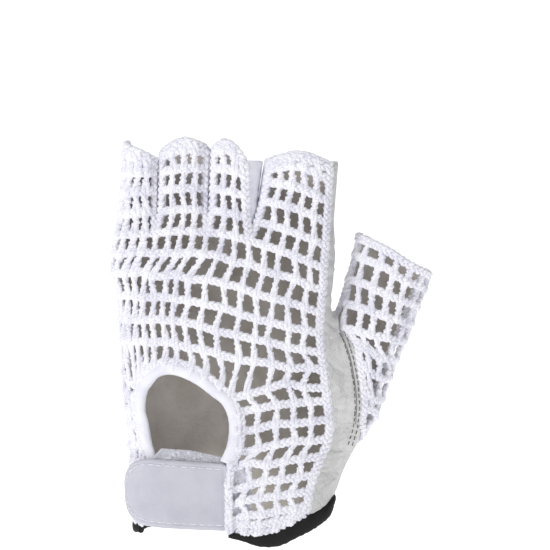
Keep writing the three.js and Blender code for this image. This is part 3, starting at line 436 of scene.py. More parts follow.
def grid_at(grid, column, line):
    """Smooth reading of a grid that starts at line -1 and column -1: cubic along the row, then across rows."""
    column, line = np.broadcast_arrays(np.asarray(column, float), np.asarray(line, float))
    rows, columns = grid.shape[0] - 3, grid.shape[1] - 3
    i = np.clip(np.floor(line).astype(int), 0, rows - 1)
    j = np.clip(np.floor(column).astype(int), 0, columns - 1)
    row_shares = cubic_shares(line - i)
    column_shares = cubic_shares(column - j)
    block = grid[i[..., None, None] + np.arange(4)[:, None], j[..., None, None] + np.arange(4)]
    return np.einsum("...a,...b,...abc->...c", row_shares, column_shares, block)


def net_at(finger, column, line, depth=NET_WALL / 2):
    """Point of the net at a depth under its outer face, and the outward direction there."""
    value = grid_at(NET[finger], column, line)
    out = value[..., 3:] / np.linalg.norm(value[..., 3:], axis=-1, keepdims=True)
    return value[..., :3] - out * depth, out


print("a post's foot:", net_at("ring", 8, 10)[0].round(1))

# %% [markdown]
# Yarn is a round tube drawn along a path. Blender can bevel a curve for this, but thousands of curves are slow,
# so the tubes are worked out together: at every point of a path a ring of vertices is laid in the plane across
# it. The texture map runs round the yarn in u and along it in v, in millimetres, so that a twist pattern can
# follow the strand. One helper turns arrays into a mesh object, in metres, at the origin.

# %% Meshes from arrays
def unit(v):
    """v over its length."""
    return v / np.maximum(1e-9, np.linalg.norm(v, axis=-1, keepdims=True))


def signed_volume(points, faces):
    """Sum of the volumes of the wedges between the origin and each face, positive when faces point outwards."""
    a, b, c, d = [points[faces[:, k]] for k in range(4)]
    wedges = np.einsum("ij,ij->i", a, np.cross(b, c)) + np.einsum("ij,ij->i", a, np.cross(c, d))
    return float(wedges.sum() / 6)


print("array helpers ready")

# %% A mesh object
def make_piece(name, points, faces, material, uv=None, slot_name=None, inside=None):
    """A mesh object from points in millimetres and four-sided faces, with an optional map of (u, v) per corner.
    A sheet may have a second material inside, on the faces from the count of its outer ones to twice that."""
    if signed_volume(points, faces) < 0:
        faces = faces[:, ::-1]
        uv = None if uv is None else uv[:, ::-1]
    mesh = bpy.data.meshes.new(name)
    mesh.from_pydata((points / 1000).tolist(), [], faces.tolist())
    if uv is not None:
        mesh.uv_layers.new(name="along").data.foreach_set("uv", np.ascontiguousarray(uv, np.float32).ravel())
    mesh.polygons.foreach_set("use_smooth", np.full(len(mesh.polygons), True))
    mesh.materials.append(material)
    if inside:
        mesh.materials.append(inside[0])
        number = np.arange(len(mesh.polygons))
        is_inside = (number >= inside[1]) & (number < 2 * inside[1])
        mesh.polygons.foreach_set("material_index", is_inside.astype(np.int32))
    mesh.validate()
    piece = bpy.data.objects.new(name, mesh)
    bpy.context.scene.collection.objects.link(piece)
    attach(piece, "root")
    print(f"{name}: {len(points)} vertices, {2 * len(faces)} triangles")
    return piece


print("mesh helper ready")

# %% Tubes along many paths at once
def tubes(paths, towards, radii, sides=6):
    """Rings across each path: centre + radius (cos a side + sin a top), with side = along x towards. The
    arrays are paths by points by 3. Returns points, faces and the map."""
    paths, towards = np.asarray(paths, float), np.asarray(towards, float)
    count, length = paths.shape[:2]
    along = unit(np.gradient(paths, axis=1))
    side = unit(np.cross(along, towards))
    top = np.cross(side, along)
    angle = 2 * np.pi * (np.arange(sides) + 0.5) / sides
    ring = np.cos(angle)[:, None] * side[:, :, None] + np.sin(angle)[:, None] * top[:, :, None]
    points = paths[:, :, None] + np.broadcast_to(radii, (count, length))[:, :, None, None] * ring
    base = np.arange(count)[:, None, None] * length * sides
    i = np.arange(length - 1)[None, :, None] * sides
    k = np.arange(sides)[None, None, :]
    n = (k + 1) % sides
    around = np.stack([base + i + k, base + i + n, base + i + sides + n, base + i + sides + k], -1)
    steps = np.linalg.norm(np.diff(paths, axis=1), axis=2)
    run = np.concatenate([np.zeros((count, 1)), np.cumsum(steps, 1)], 1)
    v0, v1 = np.broadcast_arrays(run[:, :-1, None], run[:, 1:, None] + 0 * k)[:2]
    v0 = np.broadcast_to(v0, v1.shape)
    u0 = np.broadcast_to(k / sides, v1.shape)
    u1 = u0 + 1 / sides
    uv = np.stack([u0, v0, u1, v0, u1, v1, u0, v1], -1).reshape(-1, 4, 2)
    m = np.arange(sides // 2 - 1)
    cap = np.stack([m, m + 1, sides - 2 - m, sides - 1 - m], 1)
    starts = (np.arange(count) * length * sides)[:, None, None]
    caps = np.concatenate([(starts + cap[:, ::-1]).reshape(-1, 4),
                           (starts + (length - 1) * sides + cap).reshape(-1, 4)])
    faces = np.concatenate([around.reshape(-1, 4), caps])
    return points.reshape(-1, 3), faces, np.concatenate([uv, np.zeros((len(caps), 4, 2))])


def join_parts(parts):
    """Several (points, faces, map) in one, each one's faces moved on by the points before it."""
    points, faces, uvs, start = [], [], [], 0
    for p, f, uv in parts:
        points.append(p)
        faces.append(f + start)
        uvs.append(uv)
        start += len(p)
    return np.concatenate(points), np.concatenate(faces), np.concatenate(uvs)


print("tube helpers ready")

# %% [markdown]
# Materials come next, because every piece is given one as it is made. Yarn is soft spun cotton: matt, white
# with a touch of violet in the shade, with the slant of its twist and a little fluff. Leather is white and
# satin, with pebbles of under a millimetre in its grain and fine creases. The strap is a smoother coated
# leather, its backing brushed loops, and the cuff a dull woven tape. Colours are read from the glove as hex
# values and turned to linear light by one function, and one function adds a node.

# %% Colour and node helpers
def linear(hex_value, alpha=1.0):
    """sRGB hex to linear light: c / 12.92 below 0.04045, else ((c + 0.055) / 1.055) to the power 2.4."""
    c = np.array([int(hex_value[i:i + 2], 16) for i in (1, 3, 5)]) / 255
    c = np.where(c <= 0.04045, c / 12.92, ((c + 0.055) / 1.055) ** 2.4)
    return (*c.tolist(), alpha)


def add_node(tree, kind, links=None, **settings):
    """Adds a node. Settings name its properties, or its inputs by number or name through a dict called inputs,
    and links gives the output that feeds each input."""
    node = tree.nodes.new(kind)
    for key, value in settings.pop("inputs", {}).items():
        node.inputs[key].default_value = value
    for key, value in settings.items():
        setattr(node, key, value)
    for key, output in (links or {}).items():
        tree.links.new(output, node.inputs[key])
    return node


print("white in linear light:", linear("#FFFFFF"))

# %% Sums, noise, relief and tones
def maths(tree, operation, *values):
    """One sum in a material. Each value is a plain number or another node's output."""
    numbers = {i: v for i, v in enumerate(values) if isinstance(v, (int, float))}
    outputs = {i: v for i, v in enumerate(values) if i not in numbers}
    return add_node(tree, "ShaderNodeMath", outputs, operation=operation, inputs=numbers).outputs[0]


def noise(tree, place, per_mm, detail=2, **more):
    """Noise on a place, with so many lumps to a millimetre."""
    inputs = {"Scale": 1000 * per_mm, "Detail": detail, **more}
    return add_node(tree, "ShaderNodeTexNoise", {"Vector": place}, inputs=inputs)


def relief(tree, height, strength, depth, under=None):
    """A normal for small relief up to a depth in millimetres, on top of the relief under it."""
    links = {"Height": height} if under is None else {"Height": height, "Normal": under}
    inputs = {"Strength": strength, "Distance": depth / 1000}
    return add_node(tree, "ShaderNodeBump", links, inputs=inputs).outputs["Normal"]


def two_tones(tree, factor, shade, light, low, high):
    """A colour that runs from shade, where the factor is low, to light, where it is high."""
    colour = add_node(tree, "ShaderNodeValToRGB", {"Fac": factor})
    for element, position, tone in zip(colour.color_ramp.elements, (low, high), (shade, light)):
        element.position = position
        element.color = linear(tone)
    return colour.outputs["Color"]


print("pattern helpers ready")

# %% A new material
def new_material(name):
    """A material with one Principled shader, its node tree and a place node."""
    material = bpy.data.materials.new(name)
    material.use_nodes = True
    tree = material.node_tree
    return material, tree, tree.nodes["Principled BSDF"], add_node(tree, "ShaderNodeTexCoord").outputs


def set_shader(tree, shader, links, values):
    """Feeds the inputs of a shader that links names, and sets those that values names."""
    for key, output in links.items():
        tree.links.new(output, shader.inputs[key])
    for key, value in values.items():
        shader.inputs[key].default_value = value


print("node helpers ready")

# %% Spun cotton yarn
def cotton(name, light, shade):
    """Two-ply yarn: each ply's ridge slants round the strand once in 2.2 mm, drawn a little coarse so that it
    shows. Fine noise of 0.4 mm is its fluff, and a slow tint of 9 mm keeps the white from being flat. The
    colour also darkens a little where the ridge dips: painted shade in the grooves between the plies."""
    material, tree, shader, place = new_material(name)
    along = add_node(tree, "ShaderNodeSeparateXYZ", {0: place["UV"]}).outputs
    plies = maths(tree, "MULTIPLY", along["X"], 2.0)
    slant = maths(tree, "MULTIPLY_ADD", along["Y"], 1 / 1.1, plies)
    ridge = maths(tree, "SINE", maths(tree, "MULTIPLY", slant, 2 * math.pi))
    fluff = noise(tree, place["Object"], 2.6, 3, Roughness=0.7).outputs["Fac"]
    height = maths(tree, "MULTIPLY_ADD", fluff, 0.8, ridge)
    tint = noise(tree, place["Object"], 0.11).outputs["Fac"]
    # painted shade: the ply ridge darkens the colour in the grooves between the plies, on top of the random tint
    valley = maths(tree, "MULTIPLY_ADD", ridge, 0.12, tint)
    colour = two_tones(tree, valley, shade, light, 0.25, 0.6)
    set_shader(tree, shader, {"Base Color": colour, "Normal": relief(tree, height, 0.32, 0.12)},
               {"Roughness": 0.86, "Specular IOR Level": 0.25, "Sheen Weight": 0.25, "Sheen Roughness": 0.5})
    return material


crochet_cotton = cotton("soft spun cotton", "#FBFAFF", "#E6E5F0")


def make_yarn(name, parts):
    """One piece of crochet from its tubes."""
    points, faces, uv = join_parts(parts)
    return make_piece(name, points, faces, crochet_cotton, uv, "crochet")


print("cotton ready")

# %% [markdown]
# Crochet is one yarn looped through itself. Seen from the front it has two parts: rows of chain stitches, which
# look like a plait of small Vs, and posts between the rows, two legs that cross once with one turn of yarn
# round them. A pierced plate would give the holes but not the plump, crossing yarn, so every strand is drawn.
# The chain is a three-strand plait, which shows the same Vs, and the posts wrap over the row below them.

# %% Plaits along a path
YARN = 0.8


def even_path(read, start, end, spacing=0.62, samples=160):
    """Points spaced evenly along a path: read gives point and outward direction at shares from 0 to 1 of the
    way between two places, and the shares are chosen so that each step has the same length."""
    t = np.linspace(0, 1, samples)
    points, _ = read(mix(start[0], end[0], t), mix(start[1], end[1], t))
    run = np.concatenate([[0], np.cumsum(np.linalg.norm(np.diff(points, axis=0), axis=1))])
    count = max(6, int(run[-1] / spacing) + 1)
    t = np.interp(np.linspace(0, run[-1], count), run, t)
    return read(mix(start[0], end[0], t), mix(start[1], end[1], t))


def plait(path, out, size=1.0, pitch=7.2, half_width=1.12, half_depth=0.62, sides=8, phase=0.0):
    """Three strands along a path. With a the length along over the pitch, in turns, plus a third for each
    strand: sideways half_width sin a, outwards half_depth sin 2a."""
    along = unit(np.gradient(path, axis=0))
    side = unit(np.cross(out, along))
    run = np.concatenate([[0], np.cumsum(np.linalg.norm(np.diff(path, axis=0), axis=1))])
    a = 2 * np.pi * (run / (pitch * size) + phase + np.arange(3)[:, None] / 3)
    strands = (path + side * (half_width * size * np.sin(a))[..., None]
               + out * (half_depth * size * np.sin(2 * a))[..., None])
    ends = np.minimum(1, 0.55 + np.minimum(run, run[-1] - run) / 1.2)
    return tubes(strands, np.broadcast_to(out, strands.shape), YARN * size * ends, sides)


print("thickness of the yarn:", 2 * YARN, "mm")

# %% Scallops beside a path
def scallops(path, out, pitch=3.3, reach=1.5, size=0.9, lift=0.35, sides=6):
    """A row of small loops on one side of a path: along half the pitch cos a, sideways reach sin a, and
    outwards lift sin a, for a from 0 to half a turn."""
    run = np.concatenate([[0], np.cumsum(np.linalg.norm(np.diff(path, axis=0), axis=1))])
    count = max(1, int(round(run[-1] / pitch)))
    centres = (np.arange(count) + 0.5) * run[-1] / count
    a = np.linspace(-0.25, np.pi + 0.25, 9)
    s = np.clip(centres[:, None] - np.cos(a) * 0.56 * run[-1] / count, 0, run[-1])
    read = lambda values: np.stack([np.interp(s, run, values[:, k]) for k in range(3)], -1)
    base, base_out = read(path), unit(read(out))
    along = unit(np.stack([np.interp(s, run, v) for v in np.gradient(path, axis=0).T], -1))
    side = np.cross(base_out, along)
    loops = base + side * (reach * np.sin(a))[:, None] + base_out * (lift * np.sin(a))[:, None]
    return tubes(loops, base_out, YARN * size, sides)


print("edging helper ready")

# %% Rows of chain stitches on the back
def fullness(finger, line):
    """How plump the yarn lies: the little finger's net and the finger tips are worked tight."""
    if finger == "little" and line >= 12:
        return 1.2
    if line >= 17:
        return 1.1
    return 1.0


row_parts = []
for line in range(CROTCH_LINE + 1):
    spans = [(0, 18)] if line >= OPENING_LINE else [(0, 4), (13, 18)]
    for start, end in spans:
        path, out = even_path(lambda c, l: net_at("ring", c, l), (start, line), (end, line))
        row_parts.append(plait(path, out, phase=rng.random()))
for finger, (first, last) in COLUMNS_OF.items():
    for line in (15, 16, 17, 18, 18.6):
        path, out = even_path(lambda c, l: net_at(finger, c, l), (first, line), (last, line))
        row_parts.append(plait(path, out, size=fullness(finger, line), phase=rng.random()))
path, out = even_path(lambda c, l: net_at("index", c, l), (13, 0.45), (18, 0.45))
row_parts.append(plait(path, out, phase=0.3))
back_rows = make_yarn("crochet_rows", row_parts)

# %% Posts between the rows
def posts(read, cells, sizes, foot=1.5):
    """Posts as three strands each: two legs that cross once, sideways 0.7 cos and outwards 0.42 sin of half a
    turn, and a yarn turned once round their middle. Each foot swells outwards over the row below and tucks
    under it. cells holds column at the foot, column at the head and line."""
    cells = np.asarray(cells, float)
    sizes = np.asarray(sizes, float)[:, None]
    t = np.linspace(0, 1, 13)
    foot_points, _ = read(cells[:, 0], cells[:, 2])
    head_points, _ = read(cells[:, 1], cells[:, 2] + 1)
    height = np.linalg.norm(head_points - foot_points, axis=1)[:, None]
    w = -foot / height + (1 + foot / height + 0.25 / height) * t
    base, out = read(mix(cells[:, 0:1], cells[:, 1:2], w), cells[:, 2:3] + w)
    along = unit(np.gradient(base, axis=1))
    side = unit(np.cross(out, along))
    hand = rng.choice([-1.0, 1.0], (len(cells), 1))
    twist, start = rng.uniform(0.85, 1.1, (len(cells), 1)), rng.uniform(-0.12, 0.05, (len(cells), 1))
    turn = np.pi * (w * twist + start) * hand
    over = 0.95 * np.exp(-(w * height / 1.35) ** 2) - 0.45 * smooth_step((-w * height - 0.7) / 0.8)
    narrow = 0.35 + 0.65 * smooth_step((w * height + foot) / 1.6)
    parts = []
    for leg in (1, -1):
        across = 0.7 * sizes * np.cos(turn) * leg * narrow
        outwards = 0.42 * sizes * np.sin(turn) * leg + over
        strand = base + side * across[..., None] + out * outwards[..., None]
        ends = np.minimum(1, 0.5 + np.minimum(t, 1 - t) * 7)
        parts.append(tubes(strand, out, 1.06 * YARN * sizes * ends, 8))
    a = np.linspace(-0.35, 2 * np.pi + 0.35, 12)
    middle = rng.uniform(0.36, 0.56, (len(cells), 1))
    v = middle + 0.24 * (a / (2 * np.pi) - 0.5) * hand
    base, out = read(mix(cells[:, 0:1], cells[:, 1:2], v), cells[:, 2:3] + v)
    along = unit(head_points - foot_points)[:, None] + 0 * base
    side = unit(np.cross(out, along))
    wrap = base + side * (1.0 * sizes * np.cos(a))[..., None] + out * (0.9 * sizes * np.sin(a))[..., None]
    parts.append(tubes(wrap, out, 0.56 * sizes + 0 * a, 6))
    return parts


print("post helper ready")

# %% Every post of the back
post_parts = []
for finger, (first, last) in COLUMNS_OF.items():
    cells, sizes = [], []
    for line in range(LINES - 1):
        if line < CROTCH_LINE:
            columns = [c for c in range(max(1, first), min(18, last + (finger == "index")))
                       if has_crossing(line, c) and has_crossing(line + 1, c)]
        else:
            columns = range(first + 1, last)
        for column in columns:
            lean = rng.normal(0, 0.05, 2)
            cells.append((column + lean[0], column + lean[1], line))
            beside_opening = 1.15 if line < OPENING_LINE and column < 5 else 1
            sizes.append(fullness(finger, line) * rng.uniform(0.94, 1.06) * beside_opening)
    post_parts += posts(lambda c, l: net_at(finger, c, l), cells, sizes)
make_yarn("crochet_posts", post_parts)

# %% Edges of the crochet
edge_parts = []
edges = [("index", 18, 0, 19), ("little", 0, 0, 19), ("little", 6, 14, 19), ("ring", 6, 14, 19),
         ("ring", 10, 14, 19), ("middle", 10, 14, 19), ("middle", 13, 14, 19), ("index", 13, 14, 19),
         ("index", 13, 0, 8), ("little", 4, 0, 8)]
for finger, column, low, high in edges:
    path, out = even_path(lambda c, l: net_at(finger, c, l), (column, low), (column, high))
    edge_parts.append(plait(path, out, size=1.12 if low == 14 else 0.95, phase=rng.random()))
for finger, (first, last) in COLUMNS_OF.items():
    path, out = even_path(lambda c, l: net_at(finger, c, l), (last - 0.15, 18.85), (first + 0.15, 18.85))
    edge_parts.append(scallops(path, out, pitch=2.9, reach=-0.7, size=0.95, lift=0.1))
path, out = even_path(lambda c, l: net_at("index", c, l), (18, 0.3), (18, 18.6))
edge_parts.append(scallops(path, out, pitch=3.7, reach=-1.9, size=0.75, lift=0.15))
make_yarn("crochet_edges", edge_parts)
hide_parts("crochet_back")

# %% [markdown]
# The thumb is a tapered tube of its own. Its outer face towards the back is crochet, its palm side is leather,
# and a narrow strip of leather lies between the crochet and the seam at its root. A place on it is an angle
# round the thumb's axis, 0 away from the hand and -90 towards the back, and a height. Rows run from the root,
# row 0, past the web, row 5, to the rim, row 9, and tilt with the thumb.

# %% Places round the thumb
DEGREES = math.pi / 180
PALM_INSET = 0.5
SEAM_GAP = 0.36
# down the back from the web: x, z; and up the palm side from its foot: x, y, z
WEB = np.array([45.2, 7, 76.5])
ROOT_BACK = np.array([[47.4, 71.5], [49.8, 63.5], [51.6, 54], [52.2, 44], [51.4, 35.5]])
ROOT_PALM = np.array([[46.8, 20, 32.5], [43.5, 23, 40], [41.2, 24, 49], [40.6, 23, 58], [41.8, 19, 67.5]])
INNER_SEAM = np.array([[-169, 77.5], [-184, 87], [-193, 97], [-198, 106.5], [-200, 115.5]])
OUTER_SEAM = np.array([[34 - 1.2 * abs(j - 5), 27 + 8 * j] for j in range(10)])
OUTER_SEAM[0] = (14, 26.8)
STRIP_ANGLE = 10
GAP_ANGLE = SEAM_GAP / 2 / 15 / DEGREES
print("stations down the thumb's seam:", len(ROOT_BACK))

# %% From angle and height to a place
def thumb_centre(z):
    """x and y of the thumb's axis at a height."""
    return np.interp(z, THUMB[:, 2], THUMB[:, 0]), np.interp(z, THUMB[:, 2], THUMB[:, 1])


def thumb_form(row):
    """The form a row lies on: the hand near the root, turning into the thumb alone above the web."""
    own = smooth_step((np.asarray(row, float) - 1) / 5)
    return lambda p: mix(hand_distance(p), thumb_distance(p), own)


def thumb_place(angle, z, field, level):
    """A level ray from the thumb's axis to the thumb's own surface, then steps onto the blended form."""
    x, y = thumb_centre(z)
    direction = np.stack([np.cos(angle * DEGREES), np.sin(angle * DEGREES), 0 * z], 1)
    return settle(field, cast_out(thumb_distance, np.stack([x, y, z], 1), direction, level), level, 10)


def thumb_angle(p, near):
    """Angle of a point round the axis, on the turn nearest to a given angle."""
    x, y = thumb_centre(p[2])
    angle = math.atan2(p[1] - y, p[0] - x) / DEGREES
    return angle + 360 * round((near - angle) / 360)


print("the thumb's axis at 90 mm:", [float(v.round(1)) for v in thumb_centre(90.0)])

# %% Ends of the thumb's rows
back_seam_points = cast_out(hand_distance, np.stack([ROOT_BACK[:, 0], thumb_centre(ROOT_BACK[:, 1])[1],
                                                     ROOT_BACK[:, 1]], 1), np.array([[0.0, -1.0, 0.0]]))
web = settle(hand_distance, WEB[None])[0]
back_ends = np.array([[thumb_angle(p, -90), p[2]] for p in back_seam_points[::-1]]
                     + [[thumb_angle(web, -180), web[2]]])
palm_seam_points = settle(hand_distance, ROOT_PALM)
palm_ends = np.array([[thumb_angle(p, 110), p[2]] for p in palm_seam_points]
                     + [[thumb_angle(web, 180), web[2]]])


def between_ends(a, b, t):
    """Angle runs evenly between the ends of a row. Height follows the cosine of the angle, so that the row
    lies level on a tilted section, or runs evenly where the two cosines are nearly alike."""
    angle = mix(a[0], b[0], t)
    ca, cb, c = [np.cos(v * DEGREES) for v in (a[0], b[0], angle)]
    share = t if abs(ca - cb) < 0.25 else mix(t, (c - ca) / (cb - ca), 0.7)
    return angle, mix(a[1], b[1], share)


print("rows that end at the seam:", len(back_ends) - 1)

# %% The thumb's net
def thumb_net_grid(columns=9, rows=9):
    """The crossings of the thumb's crochet in the form that the back's grids have."""
    grid = np.full((rows + 3, columns + 3, 6), np.nan)
    t = np.linspace(0, 1, columns + 1)
    for row in range(rows + 1):
        left = back_ends[row] if row < 5 else INNER_SEAM[row - 5]
        start = (left[0] + (STRIP_ANGLE if row < 5 else 0) + GAP_ANGLE * (4 if row < 7 else 1.5), left[1])
        end = (OUTER_SEAM[row][0] - GAP_ANGLE, OUTER_SEAM[row][1])
        angle, z = between_ends(start, end, t)
        field = thumb_form(row)
        place = thumb_place(angle, z + (SEAM_GAP / 2 if row == 0 else 0), field, 0)
        grid[row + 1, 1:-1] = np.concatenate([place, gradient(field, place)[0]], 1)
    inner = grid[2:-2, 2:-2]
    inner[..., [0, 2]] += rng.normal(0, 0.28, inner.shape[:2] + (2,))
    return fill_outwards(grid)


THUMB_NET = thumb_net_grid()


def thumb_net_at(column, row, depth=1.0):
    """Point of the thumb's net at a depth under its outer face, and the outward direction there."""
    value = grid_at(THUMB_NET, column, row)
    out = unit(value[..., 3:])
    return value[..., :3] - out * depth, out


print("a crossing of the thumb's net:", thumb_net_at(4, 6)[0].round(1))

# %% Crochet of the thumb
WOVEN_ROWS = np.array([-0.7, 0.2, 1.1, 2, 3, 4, 5, 6, 7, 8, 8.8])  # rows of chain stitches, as rows of the net
CELLS = (2, 3, 4, 5, 6, 7, 8, 8, 8)  # holes in each row of posts, fewer towards the root
ROW_TILT = np.array([[0, 0], [2, 0.9], [5, 0.6], [9, 0]])  # row of the net, how much higher its far end lies


def woven_at(column, step, depth=1.0):
    """Point and outward direction at a column of a woven row, counted from 0 at the root."""
    row = np.interp(step, np.arange(len(WOVEN_ROWS)) - 1, WOVEN_ROWS)
    tilt = np.interp(row, ROW_TILT[:, 0], ROW_TILT[:, 1])
    return thumb_net_at(column, row + tilt * np.asarray(column, float) / 9, depth)


parts = []
for step in range(len(WOVEN_ROWS) - 1):
    path, out = even_path(woven_at, (0, step), (9, step))
    parts.append(plait(path, out, size=1.05 if step == len(CELLS) else 1.0, phase=rng.random()))
for column in (0, 9):
    path, out = even_path(thumb_net_at, (column, 0.2), (column, 8.7))
    parts.append(plait(path, out, size=0.95, phase=rng.random()))
cells = [(9 * k / count + rng.normal(0, 0.05), 9 * k / count + rng.normal(0, 0.05), step)
         for step, count in enumerate(CELLS) for k in range(1, count)]
parts += posts(woven_at, cells, rng.uniform(0.98, 1.12, len(cells)))
path, out = even_path(thumb_net_at, (8.9, 8.86), (0.1, 8.86))
parts.append(scallops(path, out, pitch=2.9, reach=-0.7, size=0.9, lift=0.1))
thumb_net = make_yarn("thumb_net", parts)
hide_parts("thumb_crochet")

# %% [markdown]
# Leather is cut from flat hide and pulled over the hand, so it is smooth where it is stretched and folds where
# it is not: between thumb and palm, and beside the crochet on the index side. A sheet starts as a coarse net
# of panels, is divided three times into smooth small ones, and is then pulled onto the form. Folds are added
# as depth along the form's outward direction, so the sheet stays closed and never cuts through the hand.

# %% White leather
def leather(name, light, shade, grain=0.45, creases=0.4, roughness=0.5):
    """Tanned hide, finished white: pebbles of 0.75 mm from a cell pattern, wrinkles of 4.5 mm and less from
    distorted noise, and a slow tint of 12 mm. All are shallow, so that light only breaks up a little."""
    material, tree, shader, place = new_material(name)
    bend = noise(tree, place["Object"], 0.16, 3)
    shift = add_node(tree, "ShaderNodeVectorMath", {0: bend.outputs["Color"], 2: place["Object"]},
                     operation="MULTIPLY_ADD", inputs={1: (0.003, 0.003, 0.003)})
    crease = noise(tree, shift.outputs[0], 1 / 4.5, 6, Roughness=0.62, Distortion=0.9)
    pebble = add_node(tree, "ShaderNodeTexVoronoi", {"Vector": place["Object"]},
                      inputs={"Scale": 1000 / 0.75}, feature="SMOOTH_F1")
    wrinkled = relief(tree, crease.outputs["Fac"], creases, 2.6)
    normal = relief(tree, pebble.outputs["Distance"], grain, 0.1, under=wrinkled)
    tint = noise(tree, place["Object"], 0.085, 4).outputs["Fac"]
    rough = add_node(tree, "ShaderNodeMapRange", {"Value": tint},
                     inputs={"To Min": roughness - 0.07, "To Max": roughness + 0.1})
    colour = two_tones(tree, tint, shade, light, 0.3, 0.62)
    set_shader(tree, shader, {"Base Color": colour, "Roughness": rough.outputs[0], "Normal": normal},
               {"Specular IOR Level": 0.4})
    return material


palm_hide = leather("white drummed leather", "#DEDDDB", "#D7D6D4", grain=0.5, creases=0.75)
side_hide = leather("white split leather", "#F4F4FA", "#E4E5EE", grain=0.4, creases=0.3)
suede = leather("unfinished inside of the hide", "#C4BEB5", "#AFA89E", grain=0.6, creases=0.4, roughness=0.9)
print("leathers ready")

# %% Tools for sheets
def divide_smoothly(points, faces, levels):
    """Catmull-Clark division of a coarse net of panels by a Subdivision Surface modifier, as arrays."""
    mesh = bpy.data.meshes.new("coarse")
    mesh.from_pydata(points.tolist(), [], [list(map(int, f)) for f in faces])
    coarse = bpy.data.objects.new("coarse", mesh)
    bpy.context.scene.collection.objects.link(coarse)
    modifier = coarse.modifiers.new("smooth", "SUBSURF")
    modifier.levels = modifier.render_levels = levels
    modifier.boundary_smooth = "ALL"
    fine = coarse.evaluated_get(bpy.context.evaluated_depsgraph_get()).to_mesh()
    out = np.zeros(len(fine.vertices) * 3)
    fine.vertices.foreach_get("co", out)
    corner = np.zeros(len(fine.loops), int)
    fine.loops.foreach_get("vertex_index", corner)
    coarse.to_mesh_clear()
    bpy.data.objects.remove(coarse)
    bpy.data.meshes.remove(mesh)
    return out.reshape(-1, 3), corner.reshape(-1, 4)


print("division helper ready")

# %% Close a sheet
def rim_edges(faces):
    """The directed edges that only one face has."""
    a = faces.ravel()
    b = np.roll(faces, -1, axis=1).ravel()
    top = int(faces.max()) + 1
    return np.stack([a, b], 1)[~np.isin(a * top + b, b * top + a)]


def close_between(outer, inner, faces):
    """A sheet from its two faces, which share one net, with a band of faces along each free edge."""
    edges = rim_edges(faces)
    count = len(outer)
    band = np.stack([edges[:, 1], edges[:, 0], edges[:, 0] + count, edges[:, 1] + count], 1)
    return np.concatenate([outer, inner]), np.concatenate([faces, faces[:, ::-1] + count, band])


def close_sheet(outer, out, faces, wall, lip=0.35):
    """A sheet whose inner face lies a wall below the outer along the outward direction. The vertices on an
    edge are pinched by the lip, so that it looks soft."""
    on_edge = np.zeros(len(outer), bool)
    on_edge[rim_edges(faces).ravel()] = True
    pinch = np.where(on_edge, lip, 0.0)[:, None]
    return close_between(outer - out * pinch, outer - out * (wall - pinch), faces)


def grid_faces(rows, columns):
    """Four-sided faces of a grid of points whose rows follow each other."""
    i, j = np.meshgrid(np.arange(rows - 1), np.arange(columns - 1), indexing="ij")
    a = (i * columns + j).ravel()
    return np.stack([a, a + 1, a + columns + 1, a + columns], 1)


print("edges of one panel:", len(rim_edges(grid_faces(2, 2))))

# %% Creases
def folds(p, out, table):
    """Depth of creases. Each row gives a crease's x, y, z, its direction, length, width and depth in mm. It is
    centred on the sheet's nearest point and follows the sheet from there: depth times exp(-(across / width)^2)
    times exp(-(along / length)^4), and less where the sheet turns away by more than 4 mm."""
    depth = np.zeros(len(p))
    for x, y, z, dx, dy, dz, length, width, deep in table:
        nearest = np.argmin(np.linalg.norm(p - (x, y, z), axis=1))
        normal = out[nearest]
        direction = unit(np.array([dx, dy, dz]) - normal * (normal @ (dx, dy, dz)))
        offset = p - p[nearest]
        along = offset @ direction
        across = offset @ np.cross(normal, direction) + 0.6 * np.sin(along / 2.3 + x)
        depth += deep * np.exp(-(across / width) ** 2 - (along / length) ** 4 - (offset @ normal / 4) ** 4)
    return depth


print("crease helper ready")

# %% Panels of the palm leather
PALM_COLUMNS = {"turn": 4, "index": 7, "middle": 10, "ring": 13, "little": 18}
PALM_STARTS = {"index": 0, "middle": 7, "ring": 10, "little": 13}
TAB_TUCK = 1.9
PALM_WALL = 1.3
WRIST_RISE = np.array([[0, 0], [1, 0.5], [2, 0.93], [3, 0.25], [4, -0.5], [5, -0.8], [6, -0.7], [7, -0.25],
                       [8, 0.15], [10, 0.36], [13, 0.3], [16, 0.12], [18, 0]])  # column, share of the rise


def palm_heights(line, finger):
    """z of a row line at the two sides of a finger's palm."""
    if line >= CROTCH_LINE:
        return FINGER_LINES[finger][line][4], FINGER_LINES[finger][line][2]
    z_thumb = KNUCKLE_LINES[line][9] if line > OPENING_LINE else THUMB_SIDE_LINES[line][4]
    z_outer = KNUCKLE_LINES[line][4] if line > OPENING_LINE else OUTER_SIDE_LINES[line][1]
    shares = {"index": (0, 0.45), "middle": (0.45, 0.65), "ring": (0.65, 0.82), "little": (0.82, 1)}
    return tuple(mix(z_thumb, z_outer, t) for t in shares[finger])


def wrist_rise(line, column):
    """How far the wrist edge and the two rows over it climb at the thumb side and dip over the palm."""
    return {0: 8.0, 1: 6.0, 2: 3.2}.get(line, 0) * read_table(WRIST_RISE, column)[0]


print("rise of the wrist edge at the thumb side:", wrist_rise(0, 2), "mm")

